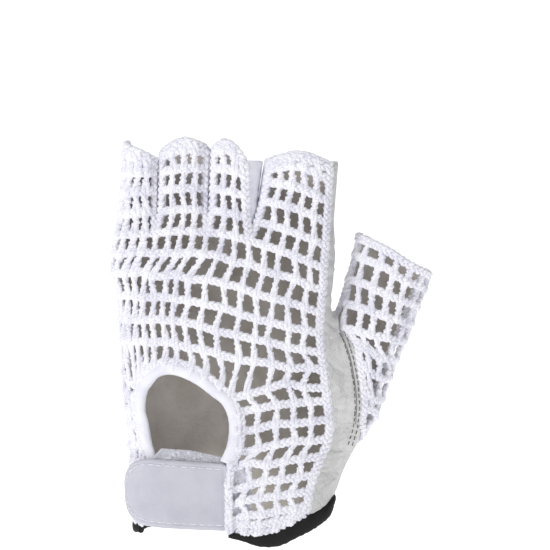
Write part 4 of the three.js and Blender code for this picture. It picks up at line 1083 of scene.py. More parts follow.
# %% A ray for each corner of the palm
def palm_ray(line, column, finger):
    """Start and direction of the ray that places one corner of a palm panel."""
    first, last = PALM_STARTS[finger], PALM_COLUMNS[finger]
    t = (column - first) / (last - first)
    z = mix(*palm_heights(line, finger), t) + wrist_rise(line, column)
    crotch = line >= CROTCH_LINE
    tuck = TAB_TUCK if line > CROTCH_LINE else 0
    s = smooth_step(line / CROTCH_LINE)
    bounds = {7: mix(4, 8.8, s), 10: mix(-12, -8.4, s), 13: mix(-25, -29.2, s)}
    if finger == "index" and column <= PALM_COLUMNS["turn"]:
        centre, radius = read_table(INDEX_TURN, z)
        edge = net_at("index", 18, line, 0)[0]
        if column == 0 and (line <= CROTCH_LINE or edge[0] < centre + radius * 0.9):
            return (edge[0] + SEAM_GAP, 0, edge[2]), (0, -1, 0)
        start = math.asin(min(0.98, (edge[0] - centre) / radius)) + (SEAM_GAP + 0.1) / radius
        angle = mix(start, math.pi, column / PALM_COLUMNS["turn"])
        return (centre, 0, z), (math.sin(angle), -math.cos(angle), 0)
    if finger == "little":
        centre, radius = read_table(TURN, z)
        start_x = FINGER_LINES["little"][line][1] - tuck if crotch else bounds[13]
        arc = math.pi - TURN_REACH - (SEAM_GAP + 0.1) / radius
        straight = max(0, start_x - centre)
        along = t * (straight + arc * radius)
        past = max(0, along - straight) / radius
        return (max(centre, start_x - along), 0, z), (-math.sin(past), math.cos(past), 0)
    row = FINGER_LINES[finger][line] if crotch else None
    start_x = row[1] - tuck if crotch else bounds.get(first)
    if finger == "index":
        start_x = read_table(INDEX_TURN, z)[0]
    end_x = row[0] + tuck if crotch else bounds[last]
    u = (column - PALM_COLUMNS["turn"]) / (last - PALM_COLUMNS["turn"]) if finger == "index" else t
    return (mix(start_x, end_x, u), 0, z), (0, 1, 0)


print("first corner's ray:", np.round(palm_ray(0, 0, "index"), 1).tolist())

# %% The palm as coarse panels
def palm_panels():
    """Corners and four-sided panels of the palm, with the window for the thumb left out."""
    keys, panels = {}, []
    def corner(line, column, finger):
        return keys.setdefault((line, column, finger if line > CROTCH_LINE else ""), len(keys))
    fingers = {}
    for line in range(LINES - 1):
        for column in range(PALM_COLUMNS["little"]):
            if 3 <= line < 12 and column < PALM_COLUMNS["turn"]:
                continue
            finger = next((f for f in ("index", "middle", "ring") if column < PALM_COLUMNS[f]), "little")
            panel = []
            for l, c in ((line, column), (line, column + 1), (line + 1, column + 1), (line + 1, column)):
                i = corner(l, c, finger)
                fingers.setdefault(i, (l, c, finger))
                panel.append(i)
            panels.append(panel)
    for line in range(4, 12):  # the window's side next to the crochet, which only the ring round the seam uses
        fingers.setdefault(corner(line, 0, "index"), (line, 0, "index"))
    points = np.zeros((len(keys), 3))
    groups = {}
    for i, (line, column, finger) in fingers.items():
        key = (min(line, 16), finger) if line > CROTCH_LINE else (0, "")
        if line == 12 and 0 < column <= 4:
            key = ("low", "")
        groups.setdefault(key, []).append(i)
    for key, members in groups.items():
        line, _, finger = fingers[members[0]]
        field = no_thumb if key[0] == "low" else form_at(line, finger)
        rays = [palm_ray(*fingers[i]) for i in members]
        points[members] = cast_out(field, np.array([r[0] for r in rays], float),
                                   np.array([r[1] for r in rays], float), -PALM_INSET)
    return points, panels, keys


palm_points, palm_faces, palm_keys = palm_panels()
print("palm panels:", len(palm_faces))

# %% Panels of the thumb's leather
THUMB_COLUMNS = 6
DIVISIONS = 3


def thumb_leather_panels():
    """Coarse corners and panels: six columns from the outer seam round the palm side, a seventh above the web
    that meets the crochet, and the strip beside the seam on the back. own tells how far a corner lies on the
    thumb alone."""
    points, own, panels, keys = [], [], [], {}

    def add(key, point, share):
        keys[key] = len(points)
        points.append(point)
        own.append(share)

    for row in range(10):
        share = float(smooth_step((row - 1) / 5))
        field = thumb_form(row)
        start = (OUTER_SEAM[row][0] + GAP_ANGLE, OUTER_SEAM[row][1])
        if row < 5:
            end = (palm_ends[row][0] - GAP_ANGLE, palm_ends[row][1])
            t = np.arange(THUMB_COLUMNS) / THUMB_COLUMNS
        else:
            end = (INNER_SEAM[row - 5][0] + 360 - GAP_ANGLE, INNER_SEAM[row - 5][1])
            last = 1 - 11 / (end[0] - start[0]) if row == 5 else THUMB_COLUMNS / (THUMB_COLUMNS + 1)
            t = np.append(np.arange(THUMB_COLUMNS + 1) / THUMB_COLUMNS * last, 1.0)
        angle, z = between_ends(start, end, t)
        places = thumb_place(angle, z + (SEAM_GAP / 2 if row == 0 else 0), field, -PALM_INSET)
        for column, place in enumerate(places):
            add((row, column), place, share)
        if row <= 5:
            seam = WEB if row == 5 else ROOT_PALM[row]
            place = settle(hand_distance, seam[None], -PALM_INSET)[0]
            if row == 5:
                points[keys[(5, THUMB_COLUMNS)]] = place
                own[keys[(5, THUMB_COLUMNS)]] = 0.0
            else:
                add((row, THUMB_COLUMNS), place, 0.0)
    for row in range(5):
        add(("seam", row), settle(hand_distance, back_seam_points[4 - row][None], -PALM_INSET)[0], 0.0)
        field = thumb_form(row)
        angle = np.array([back_ends[row][0] + STRIP_ANGLE - GAP_ANGLE])
        place = thumb_place(angle, np.array([back_ends[row][1]]), field, -PALM_INSET)[0]
        add(("net", row), place, float(smooth_step((row - 1) / 5)))
    keys[("seam", 5)], keys[("net", 5)] = keys[(5, THUMB_COLUMNS)], keys[(5, THUMB_COLUMNS + 1)]
    for row in range(9):
        for column in range(THUMB_COLUMNS + (row >= 5)):
            panels.append([keys[(row, column)], keys[(row, column + 1)], keys[(row + 1, column + 1)],
                           keys[(row + 1, column)]])
    for row in range(5):
        panels.append([keys[("seam", row)], keys[("net", row)], keys[("net", row + 1)],
                       keys[("seam", row + 1)]])
    return np.array(points), np.array(own), np.array(panels), keys


print("panel helper ready")

# %% The thumb's leather, divided and creased
thumb_points, thumb_own, thumb_panels, thumb_keys = thumb_leather_panels()
fine, fine_faces = divide_smoothly(thumb_points, thumb_panels, DIVISIONS)
share = divide_smoothly(np.outer(thumb_own, (1, 0, 0)), thumb_panels, DIVISIONS)[0][:, 0]
thumb_field = lambda p: mix(hand_distance(p), thumb_distance(p), np.clip(share, 0, 1))
# x, y, z, direction, length, width and depth of the folds
THUMB_FOLDS = [
    (47, -2, 66, 0.5, 0.2, 1, 7, 1.0, 0.35), (50, -3, 50, 0.1, 0.1, 1, 9, 1.1, 0.3),
    (58, 24, 60, 0.9, 0.2, 0.5, 9, 1.2, 0.45), (52, 24, 48, 1, 0.1, 0.3, 9, 1.1, 0.4),
    (66, 24, 86, 1, -0.2, 0.4, 8, 1.2, 0.4), (60, 25, 72, 1, 0, 0.45, 8, 1.2, 0.45),
]
level = -PALM_INSET - folds(fine, gradient(thumb_field, fine)[0], THUMB_FOLDS)
fine = settle(thumb_field, fine, level)
out = gradient(thumb_field, fine)[0]
thumb_shell, thumb_shell_faces = close_sheet(fine, out, fine_faces, PALM_WALL)
thumb_hide = make_piece("thumb_hide", thumb_shell, thumb_shell_faces, palm_hide, slot_name="leather",
                        inside=(suede, len(fine_faces)))
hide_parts("thumb_leather")

# %% The line round the root of the thumb
root = [thumb_points[thumb_keys[(5, THUMB_COLUMNS)]]]
root += [thumb_points[thumb_keys[("seam", row)]] for row in (4, 3, 2, 1, 0)]
root += list(THUMB_NET[1, 1:10, :3])
root += [thumb_points[thumb_keys[(0, column)]] for column in range(THUMB_COLUMNS + 1)]
root += [thumb_points[thumb_keys[(row, THUMB_COLUMNS)]] for row in (1, 2, 3, 4)]
root = settle(hand_distance, np.array(root), -PALM_INSET)
window = [(12, c) for c in (2, 1, 0)] + [(l, 0) for l in range(11, 2, -1)] + [(3, c) for c in (1, 2, 3, 4)]
window += [(l, 4) for l in range(4, 13)] + [(12, 3)]
window_index = np.array([palm_keys[(line, column, "")] for line, column in window])


def beside_loop(loop, out, gap):
    """A closed line moved sideways by a gap: away from it by the sum of the two neighbouring sides' unit
    directions over one plus their dot product, which keeps the gap even round a corner."""
    before, after = np.roll(loop, 1, axis=0), np.roll(loop, -1, axis=0)
    first = unit(np.cross(loop - before, out))
    second = unit(np.cross(after - loop, out))
    away = (first + second) / (1 + np.einsum("ij,ij->i", first, second))[:, None]
    return loop + away * gap


print("corners round the thumb's root:", len(root))

# %% A ring of panels round the thumb's root
root_out = gradient(hand_distance, root)[0]
inner_ring = settle(hand_distance, beside_loop(root, root_out, 0.35), -PALM_INSET)
rings = [settle(hand_distance, mix(inner_ring, palm_points[window_index], r / 3), -PALM_INSET)
         for r in (0, 1, 2)]
count = len(root)
ring_index = [np.arange(count) + len(palm_points) + r * count for r in range(3)] + [window_index]
panels = list(palm_faces)
for a, b in zip(ring_index[:-1], ring_index[1:]):
    panels += np.stack([a, b, np.roll(b, -1), np.roll(a, -1)], 1).tolist()
all_points = np.concatenate([palm_points, *rings])
# the wrist edge runs on 1.7 mm, into the binding
wrist = np.array([[palm_keys[(line, column, "")] for line in (0, 1)] for column in range(19)])
drop = unit(all_points[wrist[:, 0]] - all_points[wrist[:, 1]])
all_points[wrist[:, 0]] = settle(hand_distance, all_points[wrist[:, 0]] + drop * 1.7, -PALM_INSET)
print("panels with the ring:", len(panels))

# %% The palm's own form
own = np.zeros(len(all_points))
above = np.zeros(len(all_points))
for (line, column, finger), i in palm_keys.items():
    own[i] = 0 if line <= CROTCH_LINE else (0.6 if line == CROTCH_LINE + 1 else 1)
    above[i] = 1.0 if line >= 12 else 0.0
fine, fine_faces = divide_smoothly(all_points, panels, DIVISIONS)
shares = np.clip(divide_smoothly(np.stack([own, above, 0 * own], 1), panels, DIVISIONS)[0], 0, 1)
x, z = fine[:, 0], fine[:, 2]
finger_of = np.select([x < -28.3, x < -7.7, x < mix(8.8, 11.5, (z - 112) / 40)], [0, 1, 2], 3)


def palm_field(p):
    """Whole hand, turning into the hand without its thumb above line 12, then into one finger above line 14."""
    base = mix(hand_distance(p), no_thumb(p), shares[:, 1])
    ownership = [smooth_union(body_distance(p), finger_distance(name, p), FINGER_BLEND) for name in FINGERS]
    return mix(base, np.choose(finger_of, ownership), shares[:, 0])


print("points of the palm:", len(fine))

# %% The palm leather, divided and creased
PALM_FOLDS = [
    (44, -4, 109, 0.1, 0.8, 0.3, 5, 0.9, 0.5), (44, -4, 103, 0.1, 0.8, -0.2, 6, 0.9, 0.6),
    (44, -4, 97, 0.1, 0.7, 0.4, 5, 0.9, 0.55), (44, -4, 91, 0.1, 0.8, -0.3, 6, 0.9, 0.65),
    (44, -5, 85, 0.1, 0.8, 0.2, 5, 0.9, 0.6), (45, -5, 79, 0.1, 0.8, -0.3, 5, 0.9, 0.6),
    (45, -6, 73, 0.2, 0.9, 0.2, 5, 1.0, 0.5),
    (46, -8, 60, 0.8, 0.3, -0.5, 6, 1.0, 0.45), (46, -9, 52, 0.9, 0.2, 0.35, 6, 1.0, 0.45),
    (47, -9, 44, 0.9, 0.3, -0.3, 7, 1.1, 0.5), (45, -10, 36, 0.9, 0.2, 0.4, 7, 1.0, 0.5),
    (43, -10, 27, 0.9, 0.3, 0.1, 7, 1.1, 0.55), (41, -11, 18, 0.9, 0.3, -0.3, 6, 1.0, 0.45),
    (0, 16, 96, 1, 0, 0.12, 24, 1.5, 0.5), (-12, 17, 84, 1, 0, -0.1, 20, 1.5, 0.45),
    (24, 18, 66, 0.5, 0, 1, 18, 1.6, 0.5), (8, 18, 45, 0.45, 0, 1, 16, 1.5, 0.4),
    (-20, 17, 60, 0.3, 0, 1, 14, 1.4, 0.35), (0, 19, 18, 1, 0, 0.05, 22, 1.3, 0.4),
    (6, 19, 12, 1, 0, -0.06, 20, 1.2, 0.35), (30, 14, 112, 1, 0, 0.1, 8, 1.1, 0.35),
    (3, 12, 118, 1, 0, 0.05, 6, 1.0, 0.3), (-18, 12, 118, 1, 0, 0, 6, 1.0, 0.3),
]
fine = settle(palm_field, fine, -PALM_INSET - folds(fine, gradient(palm_field, fine)[0], PALM_FOLDS))
out = gradient(palm_field, fine)[0]
palm_shell, palm_shell_faces = close_sheet(fine, out, fine_faces, PALM_WALL)
palm_sheet = make_piece("palm_sheet", palm_shell, palm_shell_faces, palm_hide, slot_name="leather",
                        inside=(suede, len(fine_faces)))
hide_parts("palm_leather")

# %% [markdown]
# Between two fingers runs a strip of thinner leather: down the side of one, over the crotch and up the side of
# the next. Its coarse rows are read from the crochet's edge on one side and the palm's on the other, made
# smooth by cubics both ways, and given a wall.

# %% Strips between the fingers
SIDE_WALL = 1.0
SIDE_INSET = 0.25
STRIP_ROWS, STRIP_COLUMNS = 81, 25


def side_row(finger, line, to_the_right):
    """Five points round one side of a finger, from the crochet's edge to the palm's, by rays from its axis."""
    first, last = COLUMNS_OF[finger]
    back_end = net_at(finger, last if to_the_right else first, line, 0)[0]
    palm_column = PALM_STARTS[finger] if to_the_right else PALM_COLUMNS[finger]
    palm_end = palm_points[palm_keys[(line, palm_column, finger if line > CROTCH_LINE else "")]]
    low, high = FINGERS[finger]
    sign = 1 if to_the_right else -1
    centre = lambda z: mix(low[1], high[1], (z - low[0]) / (high[0] - low[0]))
    angle_of = lambda p: math.atan2(p[1] - 0.5, (p[0] - centre(p[2])) * sign)
    t = np.linspace(0, 1, 5)
    angle = mix(angle_of(back_end) + 0.05, angle_of(palm_end) - 0.09, t)
    z = mix(back_end[2], palm_end[2], t)
    start = np.stack([centre(z), 0 * z + 0.5, z], 1)
    direction = np.stack([np.cos(angle) * sign, np.sin(angle), 0 * z], 1)
    return cast_out(body_and(finger), start, direction, -SIDE_INSET)


def crotch_row(left):
    """Five points over the crotch from back to palm, bowed upwards by 1.4 (1 - (2t - 1)^2)."""
    back_end = net_at(left, COLUMNS_OF[left][1], CROTCH_LINE, 0)[0]
    palm_end = palm_points[palm_keys[(CROTCH_LINE, PALM_STARTS[left], "")]]
    t = np.linspace(0, 1, 5)
    y = mix(back_end[1] + NET_WALL + 0.9, palm_end[1] - PALM_INSET - PALM_WALL - 0.4, t)
    z = mix(back_end[2], palm_end[2], t) + 1.3 + 1.4 * (1 - (2 * t - 1) ** 2)
    return np.stack([mix(back_end[0], palm_end[0], t), y, z], 1)


print("points over a crotch:", len(crotch_row("little")))

# %% Smooth the coarse rows
def smooth_grid(coarse, rows, columns):
    """Reads a coarse grid of points on a finer one by cubics both ways, its ends carried on in line."""
    padded = np.full((coarse.shape[0] + 2, coarse.shape[1] + 2, 3), np.nan)
    padded[1:-1, 1:-1] = coarse
    padded = fill_outwards(padded)
    line = np.linspace(0, coarse.shape[0] - 1, rows)[:, None]
    column = np.linspace(0, coarse.shape[1] - 1, columns)[None]
    return grid_at(padded, column + 0 * line, line + 0 * column)


def grid_outward(grid):
    """Cross product of a grid's two directions, in unit length."""
    return unit(np.cross(np.gradient(grid, axis=1), np.gradient(grid, axis=0)))


print("grid helpers ready")

# %% Three strips
for left, right in (("little", "ring"), ("ring", "middle"), ("middle", "index")):
    lines = (19, 18, 17, 16, 15)
    coarse = np.array([side_row(left, line, True) for line in lines] + [crotch_row(left)]
                      + [side_row(right, line, False) for line in lines[::-1]])
    strip = smooth_grid(coarse, STRIP_ROWS, STRIP_COLUMNS)
    strip_out = -grid_outward(strip)
    flat = strip.reshape(-1, 3)
    ripple = 0.14 * np.sin(flat[:, 2] * 1.1 + flat[:, 1] * 0.35) * np.sin(flat[:, 1] * 0.5)
    flat = flat + strip_out.reshape(-1, 3) * ripple[:, None]
    net = grid_faces(STRIP_ROWS, STRIP_COLUMNS)[:, ::-1]
    points, faces = close_sheet(flat, strip_out.reshape(-1, 3), net, SIDE_WALL, 0.25)
    side_strip = make_piece(f"side_strip_{left}_{right}", points, faces, side_hide, slot_name="side_leather")
    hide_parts(f"fourchette_{left}_{right}")

# %% [markdown]
# Two edges are bound with a folded tape: a smooth white one round the back opening and a dull black one round
# the wrist. A bound edge is a rounded profile carried along the edge, so stations are laid beside the edge's
# points, each with a direction across and outwards, and a flattened oval is drawn at every one. The tape
# puckers a little all along its length, and its fold shows as a groove where it is stitched down.

# %% A rolled binding along an edge
def edge_stations(points, outward, wall, aside, width):
    """Centres beside an edge, half a width and a gap of 0.48 mm away in the middle of its wall, on the side
    given by aside times along x outward. Returns centres, across and outward."""
    middle = points - outward * wall[:, None] / 2
    along = unit(np.concatenate([middle[1:2] - middle[:1], middle[2:] - middle[:-2],
                                 middle[-1:] - middle[-2:-1]]))
    across = unit(np.cross(along, outward)) * aside
    return middle + across * (width / 2 + SEAM_GAP + 0.12)[:, None], across, outward


def smooth_line(values, times):
    """Cubic reading of a line of values, its ends carried on in line, at so many points to a step."""
    padded = np.concatenate([2 * values[:1] - values[1:2], values, 2 * values[-1:] - values[-2:-1]])
    t = np.linspace(0, len(values) - 1, (len(values) - 1) * times + 1)
    i = np.clip(np.floor(t).astype(int), 0, len(values) - 2)
    return np.einsum("ia,ia...->i...", cubic_shares(t - i), padded[i[:, None] + np.arange(4)])


def rolled(centre, across, outward, width, height, sides=20, power=2.5, groove=0.0, pucker=0.0):
    """An oval |x|^n + |y|^n = 1 carried along the stations. The groove dents it at one place round, and the
    pucker makes its size wave every 3.4 mm, most at its two sides across."""
    run = np.concatenate([[0], np.cumsum(np.linalg.norm(np.diff(centre, axis=0), axis=1))])
    a = 2 * np.pi * (np.arange(sides) + 0.5) / sides
    c, s = np.cos(a), np.sin(a)
    reach = 1 / (np.abs(c) ** power + np.abs(s) ** power) ** (1 / power)
    dent = 1 - groove * np.exp(-((a - 0.62) / 0.2) ** 2)
    wave = pucker * (np.sin(2 * np.pi * run / 3.4) + 0.6 * np.sin(2 * np.pi * run / 2.3 + 1))
    size = reach * dent * (1 + wave[:, None] * (0.4 + 0.6 * np.abs(c)))
    ring = (across[:, None] * (c * size * width[:, None] / 2)[..., None]
            + outward[:, None] * (s * size * height[:, None] / 2)[..., None])
    points = centre[:, None] + ring
    count = len(centre)
    k = np.arange(sides)
    i = np.arange(count - 1)[:, None] * sides
    n = (k + 1) % sides
    body = np.stack([i + k, i + n, i + sides + n, i + sides + k], -1).reshape(-1, 4)
    m = np.arange(sides // 2 - 1)
    cap = np.stack([m, m + 1, sides - 2 - m, sides - 1 - m], 1)
    faces = np.concatenate([body, cap[:, ::-1], cap + (count - 1) * sides])
    u = np.stack([k / sides, (k + 1) / sides, (k + 1) / sides, k / sides], -1) + 0 * i[..., None]
    v = np.stack([run[:-1], run[:-1], run[1:], run[1:]], -1)[:, None] + 0 * u
    uv = np.concatenate([np.stack([u, v], -1).reshape(-1, 4, 2), np.zeros((2 * len(cap), 4, 2))])
    return points.reshape(-1, 3), faces, uv


print("binding helpers ready")

# %% Woven tape
TAPE_ROUND = 13  # mm, once round a roll


def tape(name, light, shade, threads=0.34, rough=0.75, sheen=0.15):
    """Woven tape: two sets of fine ribs, one round the roll and one along it, 0.34 mm apart on the white tape
    and coarser on the black, so that the weave just shows. The colour is a little darker where the ribs dip:
    painted shade, on top of a random tint."""
    material, tree, shader, place = new_material(name)
    along = add_node(tree, "ShaderNodeSeparateXYZ", {0: place["UV"]}).outputs
    ribs = [maths(tree, "SINE", maths(tree, "MULTIPLY", along[axis], 2 * math.pi * length / threads))
            for axis, length in (("X", TAPE_ROUND), ("Y", 1))]
    weave = maths(tree, "MULTIPLY", *ribs)
    tint = noise(tree, place["Object"], 0.16, 3).outputs["Fac"]
    # painted shade: the weave's relief darkens the colour a little where it lies low, on top of the random tint
    colour = two_tones(tree, maths(tree, "MULTIPLY_ADD", weave, 0.08, tint), shade, light, 0.3, 0.65)
    set_shader(tree, shader, {"Base Color": colour, "Normal": relief(tree, weave, 0.2, 0.05)},
               {"Roughness": rough, "Sheen Weight": sheen, "Specular IOR Level": 0.35})
    return material


white_tape = tape("white binding tape", "#F8F8FD", "#E9E9F3", rough=0.62)
black_tape = tape("black woven polyester tape", "#1A1A19", "#0F0F0E", threads=0.55, rough=0.75, sheen=0.0)
print("tapes ready")

# %% Binding round the back opening
finger_of_column = lambda c: next((f for f, (a, b) in COLUMNS_OF.items() if c < b), "index")
cells = [("index", 13, line) for line in (4, 5, 6, 7)]
cells += [(finger_of_column(c), c, 8) for c in range(13, 3, -1)]
cells += [("little", 4, line) for line in (7, 6, 5, 4)]
edge = [net_at(finger, column, line, 0) for finger, column, line in cells]
points, outward = np.array([p for p, _ in edge]), np.array([o for _, o in edge])
full = np.full(len(points), 1.0)
centre, across, outward = edge_stations(points, outward, full * NET_WALL, -1, full * 4.6)
# at the outer side the tape runs on, thinner and lower, under the strap's backing
step = centre[-1] - centre[-2]
tail = [centre[-1] + step * share - outward[-1] * depth for share, depth in ((0.4, 0.9), (1.05, 1.3))]
centre = np.concatenate([centre, tail])
across, outward = [np.concatenate([v, v[-1:], v[-1:]]) for v in (across, outward)]
height = np.concatenate([full * 3.7, [3.0, 2.6]])
centre, across, outward, height = [smooth_line(v, 10) for v in (centre, across, outward, height)]
points, faces, uv = rolled(centre, unit(across), unit(outward), 4.7 + 0 * height, height,
                           groove=0.12, pucker=0.012)
opening_roll = make_piece("opening_roll", points, faces, white_tape, uv, "binding")
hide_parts("opening_binding")

# %% Binding round the wrist
ulnar = [net_at("little", c, 0, 0) for c in (4, 3, 2, 1, 0)]
palm_edge = np.array([palm_points[palm_keys[(0, c, "")]] for c in range(18, -1, -1)])
palm_out = gradient(hand_distance, palm_edge)[0]
radial = [net_at("index", c, 0, 0) for c in (18, 17, 16, 15, 14, 13)]
points = np.concatenate([[p for p, _ in ulnar], palm_edge, [p for p, _ in radial]])
outward = np.concatenate([[o for _, o in ulnar], palm_out, [o for _, o in radial]])
wall = np.concatenate([np.full(5, NET_WALL), np.full(19, PALM_WALL), np.full(6, NET_WALL)])
keep = np.ones(len(points), bool)
keep[1:] = np.linalg.norm(np.diff(points, axis=0), axis=1) > 1
points, outward, wall = points[keep], outward[keep], wall[keep]
t = np.linspace(0, 1, len(points))
scale = mix(0.35, 1, smooth_step((1 - t) / 0.12)) * mix(0.62, 1, smooth_step(t / 0.12))
centre, across, outward = edge_stations(points, outward, wall, -1, 6.2 * scale)
centre, across, outward, scale = [smooth_line(v, 8) for v in (centre, across, outward, scale)]
points, faces, uv = rolled(centre, unit(across), unit(outward), 6.2 * scale, 3.8 * np.maximum(0.7, scale),
                           groove=0.06, pucker=0.03)
cuff_roll = make_piece("cuff_roll", points, faces, black_tape, uv, "cuff")
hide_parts("cuff_binding")

# %% [markdown]
# The strap is a tongue of coated leather, stitched round its edge, that crosses the back of the wrist from
# under the crochet and ends in a rounded tip at the outer side. Under it lies its backing of brushed loops,
# which shows as a fuzzy band along the top. Both are sheets on the wrist's form, read from tables of their
# upper and lower edges. The strap's face is cushioned by its edge stitching: it dips at the stitches.

# %% Strap and backing
STRAP_TOP = np.array([[-35.2, 25.0], [-27.2, 24.4], [-15.2, 23.6], [-2.4, 22.6], [-0.1, 21.7]])
STRAP_FOOT = np.array([[-35.2, -1.6], [-25.2, -2.8], [-11.2, -3.6], [-0.1, -4.0]])
STRAP_ENDS = (-43.0, -30.0, -0.1)  # tip, where the rounding starts, thumb side
STRAP_WALL = 1.9
BACKING_TOP = np.array([[-36, 28.2], [-29.6, 29.0], [-15.2, 28.0], [-2.4, 25.2], [9.6, 22.5]])
BACKING_WALL = 1.5


def strap_span(s):
    """Lower and upper z of the strap. Past its round end the half height shrinks with sqrt(1 - past^2)."""
    tip, turn, _ = STRAP_ENDS
    past = np.clip((turn - s) / (turn - tip), 0, 1)
    top, foot = read_table(STRAP_TOP, s)[0], read_table(STRAP_FOOT, s)[0]
    middle = (top + foot) / 2
    half = (top - foot) / 2 * np.sqrt(np.maximum(0, 1 - past ** 2))
    return middle - half, middle + half


def layer_level(s):
    """How far the backing's face lies over the form: 1.85 mm on the outer flap, 3.3 mm under it at the slit."""
    return mix(1.85, -3.3, smooth_step((s + 36) / 30))


def layer(columns, shares, span, level):
    """A grid of points on the wrist: s along the columns, z between the span's edges at the given shares."""
    s = np.repeat(columns, len(shares))
    foot, top = span(columns)
    z = (foot[:, None] + (top - foot)[:, None] * shares).ravel()
    place = back_place(s, z, body_distance, level(s, z))
    return place, gradient(body_distance, place)[0]


def soft_shares(count):
    """Shares from 0 to 1 that crowd towards both ends: (1 - cos) / 2."""
    return (1 - np.cos(np.linspace(0, np.pi, count))) / 2


def strap_face(s, z):
    """Level of the strap's outer face: rounded edges and a dip of 0.3 mm along the stitch line 1.9 mm in."""
    foot, top = strap_span(s)
    tip, _, end = STRAP_ENDS
    inwards = np.minimum(np.minimum(z - foot, top - z), np.minimum(end - s + 0.4, (s - tip) * 1.6))
    rounded = 0.75 * np.exp(-np.maximum(0, inwards) / 0.55)
    dip = 0.3 * np.exp(-((inwards - 1.9) / 0.42) ** 2)
    swell = 0.22 * np.sin(s * 0.21 + 1) * np.sin(z * 0.17)
    return layer_level(s) + 0.35 + STRAP_WALL - rounded - dip + swell


print("the strap's ends:", STRAP_ENDS)

# %% The strap
columns = np.concatenate([mix(STRAP_ENDS[0] + 0.08, STRAP_ENDS[1], np.linspace(0, 1, 40)[:-1] ** 1.6),
                          np.linspace(STRAP_ENDS[1], STRAP_ENDS[2], 80)])
shares = soft_shares(61)
outer, out = layer(columns, shares, strap_span, strap_face)
inner, _ = layer(columns, shares, strap_span, lambda s, z: layer_level(s) + 0.35)
points, faces = close_between(outer, inner, grid_faces(len(columns), len(shares)))
strap_hide = leather("coated strap leather", "#CDCED5", "#C1C1CC", grain=0.3, creases=0.12, roughness=0.42)
strap_sheet = make_piece("strap_sheet", points, faces, strap_hide, slot_name="strap")
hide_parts("wrist_strap")

# %% The brushed backing
def backing_span(s):
    """Lower and upper z of the backing: it stops short of the strap's foot, shows over its top, and tucks in
    under its round end."""
    low, high = strap_span(s)
    foot = np.where(s > STRAP_ENDS[2], -0.5, low + 1.2)
    return foot, mix(read_table(BACKING_TOP, s)[0], high - 1.4, smooth_step((-26 - s) / 6))


def fleece(name, light, shade):
    """Brushed loops: noise from 0.7 mm, for the tufts, down to the hairs, both in colour and in height. The
    colour is darker where the tufts lie low: painted shade between them.
    """
    material, tree, shader, place = new_material(name)
    tuft = noise(tree, place["Object"], 1.5, 6, Roughness=0.75).outputs["Fac"]
    # painted shade: the same noise that lifts the tufts paints the low places between them darker
    colour = two_tones(tree, tuft, shade, light, 0.35, 0.62)
    set_shader(tree, shader, {"Base Color": colour, "Normal": relief(tree, tuft, 0.7, 0.4)},
               {"Roughness": 0.95, "Sheen Weight": 0.5})
    return material


loop_fleece = fleece("brushed nylon loops", "#FBFBFF", "#DCDCE6")
columns = np.linspace(-40.5, 9.6, 110)
shares = np.linspace(0, 1, 56)
tufts = rng.normal(0, 1, (len(columns), len(shares)))
tufts = (tufts + np.roll(tufts, 1, 0) + np.roll(tufts, 1, 1) + np.roll(tufts, (1, 1), (0, 1))).ravel() / 4
outer, out = layer(columns, shares, backing_span, lambda s, z: layer_level(s) - 0.1)
outer = outer + out * (0.28 * tufts)[:, None]
points, faces = close_sheet(outer, out, grid_faces(len(columns), len(shares)), BACKING_WALL, 0.3)
backing = make_piece("loop_backing", points, faces, loop_fleece, slot_name="fleece")
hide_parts("strap_backing")

# %% [markdown]
# Thread holds the parts together. A machine stitch is a short length of thread that lies on the leather and
# dips into it at both ends. Two dark rows run beside the seam at the thumb's root, one to each side; a white
# row runs round the strap, 2.2 mm inside its edge; and one hems each finger of the palm leather.

# %% Stitches along a path
def stitches(path, out, pitch=3.0, length=2.2, radius=0.22, lift=0.2, samples=7):
    """Short lengths of thread, evenly along a path: over each, from t = 0 to 1, the thread stands off by
    lift times (1 - (2t - 1)^4), less 0.35 mm at its very ends."""
    run = np.concatenate([[0], np.cumsum(np.linalg.norm(np.diff(path, axis=0), axis=1))])
    count = max(1, int(run[-1] / pitch))
    t = np.linspace(0, 1, samples)
    s = (np.arange(count)[:, None] + 0.5) * run[-1] / count + (t - 0.5) * length
    at = lambda values: np.stack([np.interp(s, run, values[:, k]) for k in range(3)], -1)
    stand = lift * (1 - (2 * t - 1) ** 4) - 0.35 * (np.abs(2 * t - 1) > 0.99)
    base, base_out = at(path), unit(at(out))
    return tubes(base + base_out * stand[:, None], base_out, radius + 0 * s, 6)


def thread(name, light, shade):
    """Twisted polyester thread with a little gloss, its tint broken up every 1.1 mm."""
    material, tree, shader, place = new_material(name)
    tint = noise(tree, place["Object"], 0.9).outputs["Fac"]
    colour = two_tones(tree, tint, shade, light, 0.35, 0.65)
    set_shader(tree, shader, {"Base Color": colour}, {"Roughness": 0.6})
    return material


dark_thread = thread("dark grey polyester thread", "#77777C", "#55555A")
white_thread = thread("white polyester thread", "#F4F4FA", "#DCDCE6")
print("threads ready")

# %% The double row at the root of the thumb
def root_row(offset):
    """A line beside the seam, at an offset towards the thumb, on the leather's outer face."""
    knots = np.concatenate([[[WEB[0], WEB[2]]], ROOT_BACK, [[49.2, 28.2]]])
    t = np.linspace(0.22, len(knots) - 1.05, 110)
    xz = np.stack([np.interp(t, np.arange(len(knots)), knots[:, k]) for k in (0, 1)], 1)
    along = unit(np.gradient(xz, axis=0))
    xz = xz + np.stack([-along[:, 1], along[:, 0]], 1) * offset
    start = np.stack([xz[:, 0], thumb_centre(xz[:, 1])[1], xz[:, 1]], 1)
    place = cast_out(hand_distance, start, np.array([[0.0, -1.0, 0.0]]))
    out = gradient(hand_distance, place)[0]
    return place - out * PALM_INSET, out


rows = [stitches(*root_row(offset), pitch=2.5, length=1.8, radius=0.19, lift=0.2) for offset in (0.85, -0.9)]
make_piece("thumb_seam_stitches", *join_parts(rows)[:2], dark_thread, slot_name="leather")

